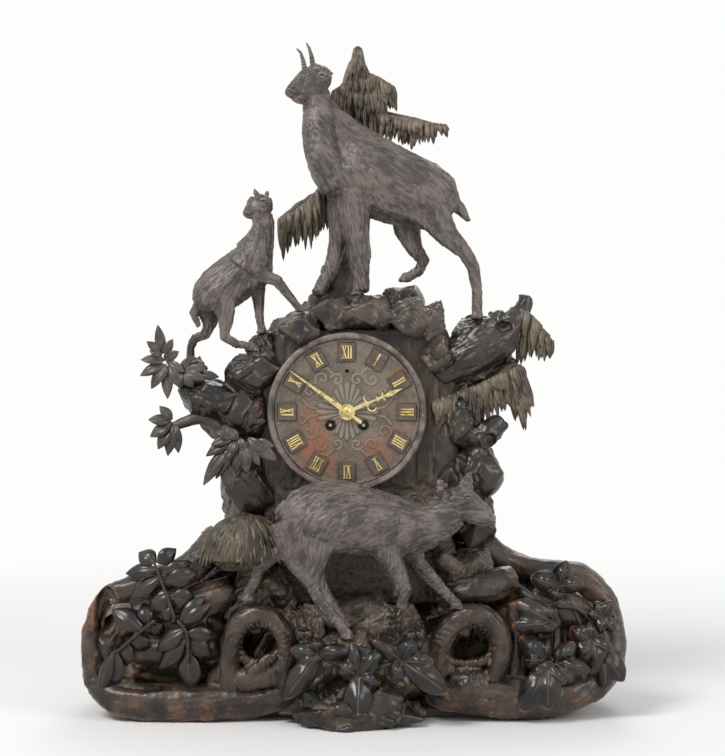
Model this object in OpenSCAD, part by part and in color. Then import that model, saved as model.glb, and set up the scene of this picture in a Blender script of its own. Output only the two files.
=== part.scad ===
// Carved mantel clock: a rocky tree trunk on curling roots holds a round dial,
// with a chamois on top, a kid at the left shoulder and a chamois in front

/* [Base] */
// Width over the two root scrolls
base_w = 564; // [540:1:600]
// How far the flat back of the base lies behind the middle
base_back = 120.7; // [112:0.1:124]
// Height of the mound where the trunk stands
base_top = 112; // [108:1:118]
// Thickness of the ground plank
plank_t = 10; // [8:1:14]
// Width of the ground plank
plank_w = 430; // [400:1:450]
// Depth of the ground plank
plank_d = 190; // [170:1:200]

/* [Trunk] */
// Width of the trunk block
trunk_w = 192; // [186:1:200]
// Height of the trunk block
trunk_h = 276; // [266:1:290]
// Depth of the trunk block
trunk_d = 135; // [130:1:145]
// How far the front of the trunk lies ahead of the middle of the base
trunk_ahead = 40; // [36:1:44]
// Height of the dial centre over the foot of the trunk
dial_rise = 193; // [186:1:198]
// How far the dial centre lies left of the middle
dial_left = 6.5; // [0:0.5:10]

/* [Dial] */
// Radius of the dial inside the bezel
dial_r = 73; // [70:0.5:74]
// Thickness of the dial disc
dial_t = 8; // [6:0.5:9]
// Outer radius of the bezel ring
bezel_r = 79.5; // [78:0.5:81]
// How far the bezel stands before the dial face
bezel_rise = 6; // [3:0.5:7]
// Radius of the ring on which the numeral plaques sit
plaque_ring_r = 60; // [58:0.5:61]
// Width of a numeral plaque
plaque_w = 16; // [14:0.5:18]
// Height of a numeral plaque
plaque_h = 18; // [16:0.5:20]
// Thickness of a numeral plaque
plaque_t = 2.2; // [1.5:0.1:2.6]
// Height of a brass numeral
numeral_h = 13; // [11:0.5:14]
// Thickness of a brass numeral
numeral_t = 0.9; // [0.6:0.1:1.1]
// Stroke width of a brass numeral
stroke_w = 1.5; // [1.2:0.1:1.7]
// Radius of a winding hole in the dial
winding_hole_r = 5.2; // [5:0.1:6]
// Radius of the centre hole in the dial
centre_hole_r = 4.2; // [4:0.1:5]
// Radius of the hole for the regulator square
regulator_hole_r = 1.5; // [1:0.1:2]

/* [Hands] */
// Length of the minute hand from its centre
minute_l = 70; // [66:0.5:71]
// Length of the tail of the minute hand
minute_tail = 18; // [14:0.5:20]
// Widest part of the minute blade
minute_w = 5; // [4:0.1:6]
// Radius of the hub disc of the hands
hub_r = 8; // [7:0.1:9]
// Length of the hour hand from its centre
hour_l = 60; // [56:0.5:62]
// Thickness of a hand
hand_t = 0.9; // [0.6:0.1:1.1]
// Place of the minute hand, degrees clockwise from twelve
minute_at = 306; // [0:1:359]
// Place of the hour hand, degrees clockwise from twelve
hour_at = 67; // [0:1:359]

/* [Movement] */
// Radius of the round plates
plate_r = 43; // [42:0.1:45]
// Thickness of a plate
plate_t = 2; // [1.6:0.1:2.2]
// Gap between the plates
plate_gap = 42; // [42:0.5:44]
// Half the distance between the two winding arbors
winding_x = 16.6; // [16.6:0.1:17.4]
// How far the winding arbors lie below the centre
winding_z = 13.2; // [12.8:0.1:13.8]
// Radius of a barrel drum
drum_r = 15; // [14:0.1:15.2]
// Length of a barrel drum
drum_l = 16; // [14:0.5:17]
// Radius of a winding arbor
winding_r = 2; // [1.8:0.1:2.2]
// Radius of a train arbor
arbor_r = 0.6; // [0.55:0.01:0.62]
// Radius of a pivot
pivot_r = 0.45; // [0.35:0.05:0.5]
// Radius of the centre arbor
centre_r = 1; // [0.8:0.05:1.1]
// Radial clearance of a pivot or pipe in its bearing
running_gap = 0.05; // [0.03:0.01:0.08]
// Thickness of a train wheel
wheel_t = 1.2; // [1:0.1:1.4]
// Thickness of a riveted pillar
pillar_r = 3; // [2.5:0.1:3.5]

/* [Pendulum] */
// Radius of the pendulum bob
bob_r = 17; // [15:0.5:18]
// Thickness of the pendulum bob
bob_t = 10; // [8:0.5:11]
// Radius of the pendulum rod
rod_r = 1; // [0.8:0.1:1.2]

/* [Bell] */
// Radius of the bell at its rim
bell_r = 31; // [28:0.5:31.5]
// Depth of the bell
bell_h = 20; // [16:0.5:21]
// Thickness of the bell metal
bell_t = 1.6; // [1.2:0.1:2]

/* [Rear door] */
// Width of the rear door
door_w = 108; // [104:1:112]
// Thickness of the rear door
door_t = 7; // [5:0.5:8]
// Radius of the hinge pin
hinge_pin_r = 1.5; // [1.2:0.1:1.8]
// Radius of a hinge knuckle
knuckle_r = 3.2; // [2.8:0.1:3.4]

/* [Chamois] */
// Diameter of the dowel in the broken leg
dowel_d = 1.8; // [1.4:0.1:2.2]
// How far the dowel stands out of the broken leg
dowel_l = 7; // [5:0.5:9]

/* [Hidden] */
$fn = 48;

linden = "#4a4039";
linden_fur = "#5b5250";
linden_worn = "#8a5a3a";
dial_wood = "#8f7565";
brass = "#cdbb7c";
steel = "#8f9499";
bell_metal = "#b9a468";

base_half = base_w / 2;
trunk_half = trunk_w / 2;
trunk_top = base_top + trunk_h;
front_y = -trunk_ahead;
rear_y = front_y + trunk_d;
dial_x = -dial_left;
dial_z = base_top + dial_rise;
face_y = front_y - dial_t;

// The carving was laid out on a trunk of these sizes, and moves with the real one
carved_trunk_half = 96;
carved_trunk_top = 388;
carved_dial_z = 305;
carved_base_half = 282;
carved_base_top = 112;
carved_front_y = -40;
top_shift = [0, front_y - carved_front_y, trunk_top - carved_trunk_top];
left_shift = [carved_trunk_half - trunk_half, front_y - carved_front_y, dial_z - carved_dial_z];
right_shift = [trunk_half - carved_trunk_half, front_y - carved_front_y, dial_z - carved_dial_z];
base_shift = [0, front_y - carved_front_y, base_top - carved_base_top];
base_stretch = base_half / carved_base_half;

// Shapes that carving needs

function unit(v) = v / norm(v);
function place(s) = [s[0], s[1], s[2]];
function blend4(a, b, c, d, t) =
    0.5 * (2 * b + (c - a) * t + (2 * a - 5 * b + 4 * c - d) * t * t + (3 * b - a - 3 * c + d) * t * t * t);
function smooth(rows, steps) = [
    for (i = [0 : len(rows) - 2], s = [0 : steps - 1])
        blend4(rows[max(i - 1, 0)], rows[i], rows[i + 1], rows[min(i + 2, len(rows) - 1)], s / steps),
    rows[len(rows) - 1]
];
function heading(rows, i) = unit(place(rows[min(i + 1, len(rows) - 1)]) - place(rows[max(i - 1, 0)]));
function sideways(t, side) =
    let (l = side - (side * t) * t)
    norm(l) < 0.1 ? unit([1, 0, 0] - t[0] * t) : unit(l);

// A limb through rows of [x, y, z, half width across, half width in its own plane]
module limb(rows, sides = 8, steps = 1, side = [0, 1, 0]) {
    run = smooth(rows, steps);
    rings = len(run);
    points = [
        for (i = [0 : rings - 1])
            let (t = heading(run, i), u = sideways(t, side), v = cross(t, u))
            for (j = [0 : sides - 1])
                place(run[i]) + run[i][3] * cos(360 * j / sides) * u + run[i][4] * sin(360 * j / sides) * v
    ];
    skin = [
        for (i = [0 : rings - 2], j = [0 : sides - 1])
            let (a = i * sides + j, b = i * sides + (j + 1) % sides)
            each [[a, a + sides, b + sides], [a, b + sides, b]]
    ];
    start_cap = [for (j = [0 : sides - 1]) j];
    end_cap = [for (j = [sides - 1 : -1 : 0]) (rings - 1) * sides + j];
    polyhedron(points, concat([start_cap], skin, [end_cap]), convexity = 6);
}

// The solid that wraps a set of points
module wrap(points) hull() polyhedron(points, [[for (i = [0 : len(points) - 1]) i]]);

// A rock with carved flats, of half sizes r, round a centre
module rock(centre, r, seed, corners = 9) {
    jitter = rands(-0.16, 0.16, corners * 2, seed);
    wrap([
        for (i = [0 : corners - 1])
            let (
                h = 1 - 2 * (i + 0.5) / corners,
                w = sqrt(1 - h * h),
                a = 137.5 * i + 90 * jitter[i],
                k = 1 + jitter[corners + i]
            )
            centre + [k * r[0] * w * cos(a), k * r[1] * w * sin(a), k * r[2] * h]
    ]);
}

// A leaf that leaves its base in a direction, with its face turned along the normal
module leaf(base, way, normal, length, width, thick = 2.6) {
    d = unit(way);
    n = unit(normal - (normal * d) * d);
    s = cross(n, d);
    wrap([
        for (q = [
            [-0.1, 0, 0.1], [0.42, 0.5, -0.2], [0.42, -0.5, -0.2], [1, 0, -0.9], [0.34, 0, 0.9], [0.4, 0, -0.9]
        ])
            base + q[0] * length * d + q[1] * width * s + q[2] * thick * n
    ]);
}

// Pointed lobes round one hub, as one solid with a ridge along each lobe.
// A lobe is [angle from the way, length]; lobes run round anticlockwise
module lobes(at, way, normal, list, wide = 0.2, notch = 0.3, thick = 2.6) {
    d = unit(way);
    n = unit(normal - (normal * d) * d);
    s = cross(n, d);
    count = len(list);
    function spot(a, r, h) = at + r * cos(a) * d + r * sin(a) * s + h * n;
    function next_angle(i) = i + 1 < count ? list[i + 1][0] : list[0][0] + 360;
    function next_length(i) = list[(i + 1) % count][1];
    rim = [
        for (i = [0 : count - 1])
            let (a = list[i][0], l = list[i][1], turn = atan(wide / 0.5), k = norm([0.5, wide]))
            each [
                spot(a - turn, k * l, -0.1 * thick), spot(a, l, -0.05 * l), spot(a + turn, k * l, -0.1 * thick),
                spot((a + next_angle(i)) / 2, notch * min(l, next_length(i)), -0.3 * thick)
            ]
    ];
    last = len(rim);
    polyhedron(
        concat(rim, [spot(0, 0, thick), spot(0, 0, -thick)]),
        [for (i = [0 : last - 1]) each [[i, last, (i + 1) % last], [(i + 1) % last, last + 1, i]]],
        convexity = 6
    );
}

// An ivy leaf of five lobes round the end of its stem
module ivy_leaf(at, way, normal, length, thick = 3)
    lobes(at, way, normal,
          [[-108, 0.6 * length], [-50, 0.85 * length], [0, length], [50, 0.85 * length], [108, 0.6 * length]],
          0.22, 0.42, thick);

// A bunch of leaves round a point, turned to the front
module leaf_bunch(at, length, count, seed, first = 0, span = 360) {
    lean = rands(-1, 1, count * 2, seed);
    lobes(at, [1, 0, 0], [0.12 * lean[0], -1, 0.3 + 0.1 * lean[1]],
          [for (i = [0 : count - 1]) [first + span * (i + 0.08 * lean[i]) / count, length * (1 + 0.18 * lean[count + i])]],
          0.17, 0.3, 3.4);
}

// Hanging needles of a fir bough, fanned out from a place on the branch
module bough(at, tilt, length, count, seed, span = 120, normal = [0, -1, 0.45]) {
    sway = rands(-1, 1, count * 2, seed);
    lobes(at, [sin(tilt), 0, -cos(tilt)], normal,
          concat(
              [for (i = [0 : count - 1])
                  [-span / 2 + span * (i + 0.5 + 0.1 * sway[i]) / count, length * (1 + 0.16 * sway[count + i])]],
              [[180, 0.3 * length]]
          ),
          0.07, 0.42, 4);
}

// A flat seat for a hoof or a block, cut into what lies under it
module seat(at, r, rise = 40) translate(at) cylinder(r = r, h = rise, $fn = 16);

// Base

module plank_outline(inset = 0) {
    corner = 60;
    hull() for (x = [-1, 1], y = [-1, 1])
        translate([x * (plank_w / 2 - corner), y * (plank_d / 2 - corner) + 6])
            circle(r = corner - inset, $fn = 24);
}

module base_plank() color(linden_worn) linear_extrude(plank_t) plank_outline();

module mound_body() {
    rock([0, 22, 62], [150, 88, 66], 11, 14);
    rock([0, 66, 52], [150, 72, 54], 21);
    rock([-165 * base_stretch, 24, 60], [82, 84, 66], 12, 16);
    rock([165 * base_stretch, 24, 60], [82, 84, 66], 13, 16);
    rock([0, -34, 42], [110, 44, 42], 14, 14);
    rock([-150 * base_stretch, -22, 96], [30, 40, 30], 15);
    rock([150 * base_stretch, -22, 96], [30, 40, 30], 16);
    rock([-60, -52, 60], [44, 26, 34], 17);
    rock([70, -52, 58], [46, 26, 34], 18);
    rock([-120, 60, 88], [40, 40, 26], 19);
    rock([120, 60, 88], [40, 40, 26], 20);
}

module base_mound() color(linden) difference() {
    mound_body();
    translate([-400, -400, -200]) cube([800, 800, 200 + plank_t]);
    translate([-trunk_half - 6, front_y - 4, base_top]) cube([trunk_w + 12, trunk_d + 60, 100]);
    behind_base();
}

// The left root: from the trunk over the end of the base and back along the floor
module root_left_body() {
    limb([
        for (q = [
            [-70, 30, 178, 30, 26], [-118, 24, 150, 34, 30], [-160, 16, 126, 38, 31], [-205, 8, 108, 40, 32],
            [-243, 0, 76, 38, 37], [-250, -8, 42, 34, 34], [-222, -22, 21, 28, 23], [-170, -38, 17, 24, 21],
            [-120, -52, 16, 22, 19], [-76, -62, 16, 20, 18]
        ])
            [q[0] * base_stretch, q[1], q[2], q[3], q[4]]
    ], 8);
    limb([
        for (q = [
            [-60, 64, 130, 30, 26], [-112, 72, 108, 34, 30], [-166, 70, 84, 38, 34], [-214, 56, 60, 38, 36],
            [-246, 34, 38, 30, 30], [-250, 6, 20, 22, 20]
        ])
            [q[0] * base_stretch, q[1], q[2], q[3], q[4]]
    ], 7);
    rock([-150 * base_stretch, 60, 40], [76, 44, 44], 30, 14);
    rock([-196 * base_stretch, 0, 126], [26, 26, 18], 37);
}

module root_scroll_left() color(linden) difference() {
    root_left_body();
    below_floor();
    behind_base();
    mound_body();
    plank_space();
    trunk_space();
}

module root_scroll_right() color(linden) difference() {
    mirror([1, 0, 0]) root_left_body();
    below_floor();
    behind_base();
    mound_body();
    plank_space();
    trunk_space();
}

module behind_base() translate([-400, base_back, -1]) cube([800, 100, 400]);
module below_floor() translate([-400, -400, -200]) cube([800, 800, 200]);
module plank_space() translate([0, 0, -1]) linear_extrude(plank_t + 1) plank_outline();
module trunk_space() translate([0, front_y, base_top]) translate([-trunk_half, 0, 0]) cube([trunk_w, trunk_d, trunk_h]);

module loop_body(x) {
    limb([
        [x - 32, -70, 18, 15, 13], [x - 36, -74, 48, 13, 12], [x - 30, -78, 82, 12, 12], [x - 6, -80, 103, 12, 12],
        [x + 18, -80, 98, 11, 11], [x + 31, -78, 74, 10, 10], [x + 30, -74, 48, 11, 11], [x + 8, -70, 34, 12, 12],
        [x - 14, -66, 36, 10, 10]
    ], 7);
    rock([x - 24, -64, 24], [20, 18, 18], 50);
    rock([x + 6, -64, 30], [20, 14, 14], 53);
}

module root_loops() color(linden) difference() {
    union() {
        loop_body(-91 * base_stretch);
        mirror([1, 0, 0]) loop_body(-110 * base_stretch);
    }
    below_floor();
    mound_body();
    root_left_body();
    mirror([1, 0, 0]) root_left_body();
    plank_space();
}

module front_foot_rock() color(linden) difference() {
    union() {
        rock([0, -84, 22], [62, 34, 30], 61, 15);
        rock([-34, -84, 12], [34, 30, 18], 62);
        rock([34, -84, 12], [34, 30, 18], 63);
        rock([0, -98, 10], [44, 24, 16], 64);
        rock([-20, -96, 24], [24, 18, 22], 65);
        rock([20, -96, 24], [24, 18, 22], 66);
        rock([-50, -74, 10], [26, 20, 14], 67);
        rock([52, -74, 10], [26, 20, 14], 68);
    }
    below_floor();
    mound_body();
    root_left_body();
    mirror([1, 0, 0]) root_left_body();
    loop_body(-91 * base_stretch);
    mirror([1, 0, 0]) loop_body(-110 * base_stretch);
    plank_space();
}

// Hoof seats in front of the trunk: near hind, far hind and far front hoof of the lower chamois
lower_seats = [[-6, -104, 88], [-104, -80, 121], [101, -80, 113]];

module ground_body() translate(base_shift) {
    rock([-8, -94, 76], [34, 24, 20], 71);
    rock([-104, -76, 104], [36, 30, 26], 72);
    rock([100, -72, 98], [34, 26, 24], 73);
    rock([-54, -70, 92], [34, 24, 26], 74);
    rock([40, -68, 92], [42, 24, 26], 75);
    rock([0, -60, 108], [56, 24, 22], 76);
    rock([-110, -54, 168], [44, 24, 28], 77, 14);
    rock([-90, -52, 124], [36, 24, 34], 78);
    rock([108, -52, 132], [34, 24, 20], 79);
    rock([122, -44, 150], [26, 26, 22], 80);
}

module ground_rocks() color(linden) difference() {
    ground_body();
    mound_body();
    translate(base_shift) for (s = lower_seats) seat(s, 12);
    root_left_body();
    mirror([1, 0, 0]) root_left_body();
    loop_body(-91 * base_stretch);
    mirror([1, 0, 0]) loop_body(-110 * base_stretch);
    trunk_space();
}

// Trunk

module trunk_outline() polygon([
    for (q = [
        [-0.94, 0], [-1, 0.14], [-0.92, 0.38], [-1, 0.66], [-0.92, 0.9], [-0.66, 1],
        [0.72, 1], [0.94, 0.9], [1, 0.66], [0.9, 0.38], [0.98, 0.14], [0.94, 0]
    ])
        [q[0] * trunk_half, base_top + q[1] * trunk_h]
]);

bore_r = plate_r + 5;
ledge_r = plate_r - 4;
slot_half = 30;
slot_floor = base_top + 14;
front_plate_y = front_y + 18;
inner_front = front_plate_y + plate_t;
inner_back = inner_front + plate_gap;
back_plate_y = inner_back + plate_t;

// Draws on the plane of an arbor at p, seen from the front, with its back at the given depth
module on_arbor(p, back) translate([dial_x + p[0], back, dial_z + p[1]]) rotate([90, 0, 0]) children();
module rod(p, r, from, to) on_arbor(p, to) cylinder(r = r, h = to - from, $fn = 24);

module trunk_block() color(linden) difference() {
    translate([0, rear_y, 0]) rotate([90, 0, 0]) linear_extrude(trunk_d) trunk_outline();
    rod([0, 0], ledge_r, front_y - 1, front_plate_y + 1);
    rod([0, 0], bore_r, front_plate_y, rear_y + 1);
    translate([dial_x - slot_half, inner_back - 4, slot_floor])
        cube([2 * slot_half, rear_y - inner_back + 5, dial_z - slot_floor]);
}

module trunk_solid() translate([0, rear_y, 0]) rotate([90, 0, 0]) linear_extrude(trunk_d) trunk_outline();
module bezel_space() on_arbor([0, 0], front_y) cylinder(r = bezel_r + 0.4, h = 60, $fn = 96);

// Hoof seats on the top rocks, in the order of the legs of the large chamois
top_seats = [[4, -27, 423], [-38, -3, 419], [125, -27, 399], [53, -3, 438]];

module rocks_top_body() translate(top_shift) {
    rock([4, -20, 404], [34, 34, 24], 81);
    rock([-36, -12, 402], [30, 30, 22], 82);
    rock([52, -4, 414], [30, 30, 28], 83);
    rock([-50, -44, 388], [26, 22, 22], 84);
    rock([-20, -46, 404], [26, 16, 20], 85);
    rock([20, -48, 404], [28, 16, 22], 86);
    rock([56, -46, 400], [26, 20, 26], 87);
    rock([78, -30, 392], [22, 30, 28], 88);
    rock([-70, 0, 384], [24, 40, 24], 89);
    rock([0, 34, 398], [70, 44, 26], 90, 14);
    rock([84, -46, 362], [16, 20, 24], 92);
    rock([-30, 10, 396], [50, 40, 24], 93, 14);
}

module rocks_top() color(linden) difference() {
    rocks_top_body();
    trunk_solid();
    bezel_space();
    translate(top_shift) for (s = top_seats) seat(s, 13);
    translate(left_shift) for (s = kid_seats) seat(s, 9);
}

module rocks_left_body() translate(left_shift) {
    rock([-100, -30, 342], [30, 30, 26], 101, 14);
    rock([-146, -24, 318], [32, 28, 23], 102, 14);
    rock([-92, -34, 368], [18, 20, 20], 103);
    rock([-112, -10, 300], [34, 40, 34], 104, 14);
    rock([-104, -26, 226], [28, 28, 40], 105);
    rock([-110, 10, 250], [30, 46, 60], 106, 14);
    rock([-102, 10, 190], [34, 50, 50], 107, 14);
    rock([-164, -18, 344], [18, 20, 22], 108);
    rock([-98, -40, 300], [16, 16, 24], 109);
}

kid_seats = [[-93, -34, 384], [-98, -44, 366], [-166, -22, 356]];

module rocks_left() color(linden) difference() {
    rocks_left_body();
    trunk_solid();
    bezel_space();
    rocks_top_body();
    ground_body();
    mound_body();
    root_left_body();
    translate(left_shift) for (s = kid_seats) seat(s, 9);
}

module rocks_right_body() translate(right_shift) {
    rock([100, -20, 356], [34, 34, 34], 121, 14);
    rock([124, -22, 374], [26, 30, 30], 122, 14);
    rock([122, -26, 248], [28, 30, 32], 123, 14);
    rock([106, 10, 300], [26, 44, 50], 124, 14);
    rock([110, 6, 220], [24, 46, 60], 125, 14);
    rock([128, -4, 190], [26, 36, 36], 126);
    rock([146, -20, 396], [12, 16, 14], 127);
    rock([106, -36, 300], [18, 22, 36], 128);
    rock([96, -40, 236], [16, 16, 30], 129);
}

module rocks_right() color(linden) difference() {
    rocks_right_body();
    trunk_solid();
    bezel_space();
    rocks_top_body();
    ground_body();
    mound_body();
    mirror([1, 0, 0]) root_left_body();
    translate(top_shift) seat(top_seats[2], 13);
}

// Animals

// A cloven hoof whose flat sole lies on a seat
module hoof(at, way, r = 6) {
    w = unit([way[0], way[1], 0]);
    side = [-w[1], w[0], 0];
    for (k = [-1, 1])
        wrap([
            for (q = [[-1, 0.08, 0], [-0.9, 0.9, 0], [1.3, 0.3, 0], [0.6, 1, 0],
                      [-0.8, 0.08, 1.7], [-0.4, 0.8, 1.7], [0.6, 0.2, 1.5]])
                at + r * (q[0] * w + k * q[1] * side) + [0, 0, r * q[2]]
        ]);
}

module large_body() translate(top_shift) {
    limb([[-34, -15, 551, 9, 12], [-26, -15, 552, 18, 28], [-2, -15, 549, 25, 40], [20, -15, 544, 27, 42],
          [46, -15, 533, 26, 39], [72, -15, 524, 25, 36], [92, -15, 517, 21, 28], [103, -15, 511, 9, 12]], 8);
    limb([[8, -15, 560, 22, 34], [-13, -15, 582, 17, 27], [-28, -15, 602, 14, 19], [-36, -16, 618, 12.5, 15.5],
          [-38, -18, 634, 11, 12]], 7);
    limb([[-26, -12, 648, 8, 9], [-34, -16, 646, 13, 15], [-45, -24, 639, 12, 15], [-55, -32, 631, 9, 11.5],
          [-62, -37, 627, 7, 8], [-66, -40, 624, 4, 5]], 7);
    limb([[0, -25, 544, 10, 16], [3, -27, 524, 9, 12], [8, -27, 500, 8, 9.5], [10, -27, 478, 7, 7],
          [11, -27, 466, 7, 7.5], [11, -27, 447, 5.5, 5.5], [5, -27, 427, 5, 5.5]], 6);
    limb([[-14, -5, 532, 9, 13], [-18, -3, 512, 8, 9.5], [-19, -3, 490, 7, 7], [-19, -3, 475, 7, 7.5],
          [-24, -3, 453, 5.5, 5.5], [-36, -3, 424, 5, 5.5]], 6);
    limb([[74, -25, 522, 12, 26], [82, -27, 502, 11, 19], [97, -27, 481, 9, 12], [112, -27, 467, 7.5, 8.5],
          [121, -27, 452, 6.5, 7], [125, -27, 428, 5.5, 5.5], [125, -27, 403, 5, 5.5]], 6);
    limb([[56, -5, 512, 11, 22], [55, -3, 490, 10, 15], [63, -3, 471, 8, 9], [72, -3, 459, 7, 7],
          [67, -3, 449, 5.5, 5.5], [55, -3, 442, 5, 5]], 6);
    limb([[96, -15, 521, 7, 9], [108, -15, 512, 5, 7], [118, -15, 499, 2, 2.5]], 6);
    hoof(top_seats[0], [-1, -0.3, 0]);
    hoof(top_seats[1], [-1, -0.3, 0]);
    hoof(top_seats[2], [-1, -0.2, 0]);
    hoof(top_seats[3], [-1, -0.2, 0]);
    leaf([-31, -12, 648], [1, 0.4, 0.45], [0, -1, 0.2], 15, 8, 3);
    leaf([-38, -28, 650], [-0.6, -0.2, 0.9], [0, -1, 0.4], 9, 6, 3);
}

module large_chamois() color(linden_fur) difference() {
    large_body();
    horn_tenons(1.55);
}

horn_rows = [
    [[-49, -22, 650, 3.6, 3.6], [-51, -22, 662, 3.2, 3.2], [-54, -20, 672, 2.4, 2.4], [-59, -15, 675, 1.2, 1.2]],
    [[-41, -16, 653, 3.6, 3.6], [-43, -16, 668, 3.2, 3.2], [-46, -13, 679, 2.4, 2.4], [-49, -7, 683, 1.2, 1.2]]
];

// Each horn stands on a round tenon in the head
module horn_tenons(r) translate(top_shift) for (rows = horn_rows)
    translate(place(rows[0]) + [0, 0, -9]) cylinder(r = r, h = 18, $fn = 12);

module large_chamois_horns() color(linden_fur) {
    difference() {
        translate(top_shift) for (rows = horn_rows) limb(rows, 6);
        large_body();
    }
    horn_tenons(1.5);
}

module kid_body() translate(left_shift) {
    limb([[-82, -38, 456, 8, 14], [-90, -38, 456, 14, 21], [-103, -38, 450, 17, 25], [-119, -38, 440, 18, 25],
          [-136, -38, 427, 18, 24], [-150, -38, 417, 16, 19], [-158, -38, 412, 7, 8]], 8);
    limb([[-102, -38, 464, 14, 19], [-94, -38, 478, 11, 14], [-90, -38, 491, 9, 10.5], [-91, -40, 504, 8, 9]], 8);
    limb([[-83, -38, 514, 6, 7], [-91, -41, 513, 10.5, 12.5], [-99, -45, 508, 8.5, 10.5],
          [-105, -49, 504, 6, 7], [-108.5, -51, 502, 3.5, 4]], 8);
    limb([[-97, -46, 446, 7, 14], [-88, -48, 440, 6, 8], [-77, -48, 437, 5.5, 6], [-69, -48, 427, 5, 5],
          [-54, -50, 409, 3.6, 3.6]], 6);
    limb([[-99, -34, 440, 7, 12], [-96, -34, 422, 6, 7], [-95, -34, 405, 4.5, 5], [-93, -34, 387, 3.6, 3.8]], 6);
    limb([[-134, -46, 424, 8, 18], [-128, -48, 405, 7.5, 11], [-128, -48, 390, 5.5, 6.5], [-129, -48, 380, 5, 5.5],
          [-117, -46, 373, 4, 4.2], [-99, -44, 370, 3.8, 3.8]], 6);
    limb([[-148, -32, 412, 8, 15], [-145, -30, 394, 6.5, 8], [-150, -28, 383, 5, 5.5], [-161, -26, 379, 4.5, 5],
          [-165, -24, 371, 4, 4], [-166, -22, 359, 3.8, 3.8]], 6);
    limb([[-155, -38, 414, 5, 6], [-161, -38, 404, 4, 5], [-156, -38, 391, 2, 2.5]], 6);
    hoof(kid_seats[0], [-1, -0.5, 0], 4.5);
    hoof(kid_seats[1], [1, -0.3, 0], 4.5);
    hoof(kid_seats[2], [-1, -0.3, 0], 4.5);
    hoof([-53, -50, 405], [1, -0.1, -0.2], 4.5);
    leaf([-96, -42, 520], [-0.4, -0.2, 1], [0, -1, 0], 11, 6, 3);
    leaf([-88, -40, 520], [0.2, 0.2, 1], [0, -1, 0], 10, 6, 3);
}

module kid_chamois() color(linden_fur) kid_body();

broken_end = [45.5, -104, 117];

module lower_body() translate(base_shift) {
    limb([[-69, -90, 206, 6, 8], [-60, -90, 206, 15, 22], [-39, -90, 208, 20, 30], [-12, -90, 206, 22, 34],
          [15, -90, 200, 21, 32], [41, -90, 194, 20, 30], [60, -90, 192, 16, 24]], 8);
    limb([[34, -90, 196, 19, 30], [60, -90, 194, 16.5, 26], [78, -90, 200, 14, 20], [93, -91, 208, 12.5, 17],
          [101, -92, 215, 11, 14]], 7);
    limb([[88, -90, 220, 9, 10], [99, -93, 219, 12.5, 16], [110, -95, 214, 11, 14], [121, -97, 207, 8.5, 11],
          [130, -99, 203, 7, 8], [137, -100, 201, 4, 4.5]], 8);
    limb([[32, -100, 186, 10, 18], [35, -103, 167, 8, 11], [44, -104, 148, 7, 8], [50, -104, 134, 7, 7.5],
          [48, -104, 124, 5.5, 5.5], [45.5, -104, 117, 5, 5]], 6);
    limb([[56, -82, 178, 9, 14], [63, -80, 157, 7.5, 9], [81, -80, 138, 6.5, 7], [91, -80, 128, 5.5, 5.5],
          [101, -80, 117, 5, 5]], 6);
    limb([[-40, -100, 196, 11, 25], [-32, -103, 176, 10, 17], [-36, -104, 158, 8.5, 10], [-40, -104, 141, 7, 7.5],
          [-32, -104, 123, 5.5, 5.5], [-17, -104, 106, 5.5, 5.5], [-6, -104, 92, 5, 5]], 6);
    limb([[-52, -82, 190, 10, 18], [-62, -80, 174, 9, 12], [-80, -80, 165, 7, 8], [-92, -80, 154, 6.5, 7],
          [-96, -80, 142, 5.5, 5.5], [-104, -80, 125, 5, 5]], 6);
    limb([[-64, -90, 216, 4, 6], [-72, -90, 210, 3, 5], [-74, -90, 200, 2, 2.5]], 6);
    hoof(lower_seats[0], [1, -0.4, 0]);
    hoof(lower_seats[1], [-1, -0.2, 0]);
    hoof(lower_seats[2], [1, -0.2, 0]);
    leaf([92, -86, 226], [-0.5, 0.2, 1], [-0.3, -1, 0.1], 19, 9, 3);
    leaf([104, -92, 229], [0.45, -0.1, 1], [0.3, -1, 0.1], 20, 9, 3);
    wrap([for (q = [[86, 0], [92, 3], [88, 7], [94, 8]], y = [-94, -90]) [q[0], y, 224 + q[1]]]);
}

dowel_play = 0.06;

// The dowel stands slanting in the broken end
module dowel(d) translate(base_shift + broken_end) rotate([0, 200, 0])
    translate([0, 0, -8]) cylinder(d = d, h = 8 + dowel_l, $fn = 16);

module lower_chamois() color(linden_fur) difference() {
    lower_body();
    dowel(dowel_d + dowel_play);
}

module leg_dowel() color(steel) dowel(dowel_d);

// Trees and leaves

module fir_trunk() translate(top_shift)
    limb([[-10, 22, 404, 20, 22], [-2, 24, 440, 14, 17], [0, 26, 500, 10, 11], [8, 24, 580, 6, 6], [8, 20, 640, 4, 4],
          [5, 16, 670, 1.5, 1.5]], 6);

module fir_top_body() {
    fir_trunk();
    translate(top_shift) {
        limb([[-6, 18, 430, 10, 12], [-30, 17, 427, 8, 9], [-50, 14, 422, 6, 6]], 6);
        limb([[8, 22, 614, 4, 4], [44, 18, 608, 3.6, 3.6], [90, 12, 598, 3, 3]], 5);
        limb([[-10, 16, 650, 3, 3], [8, 19, 644, 3, 3], [28, 16, 650, 2.4, 2.4]], 5);
        bough([5, 13, 668], 4, 34, 4, 131, 80);
        bough([-9, 12, 652], -14, 42, 4, 132, 90);
        bough([26, 13, 652], 18, 42, 4, 133, 90);
        bough([38, 14, 612], 10, 36, 4, 135, 100);
        bough([80, 9, 602], 30, 36, 4, 136, 110);
    }
}

module fir_tree_top() color(linden) difference() {
    fir_top_body();
    rocks_top_body();
    trunk_solid();
}

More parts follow.
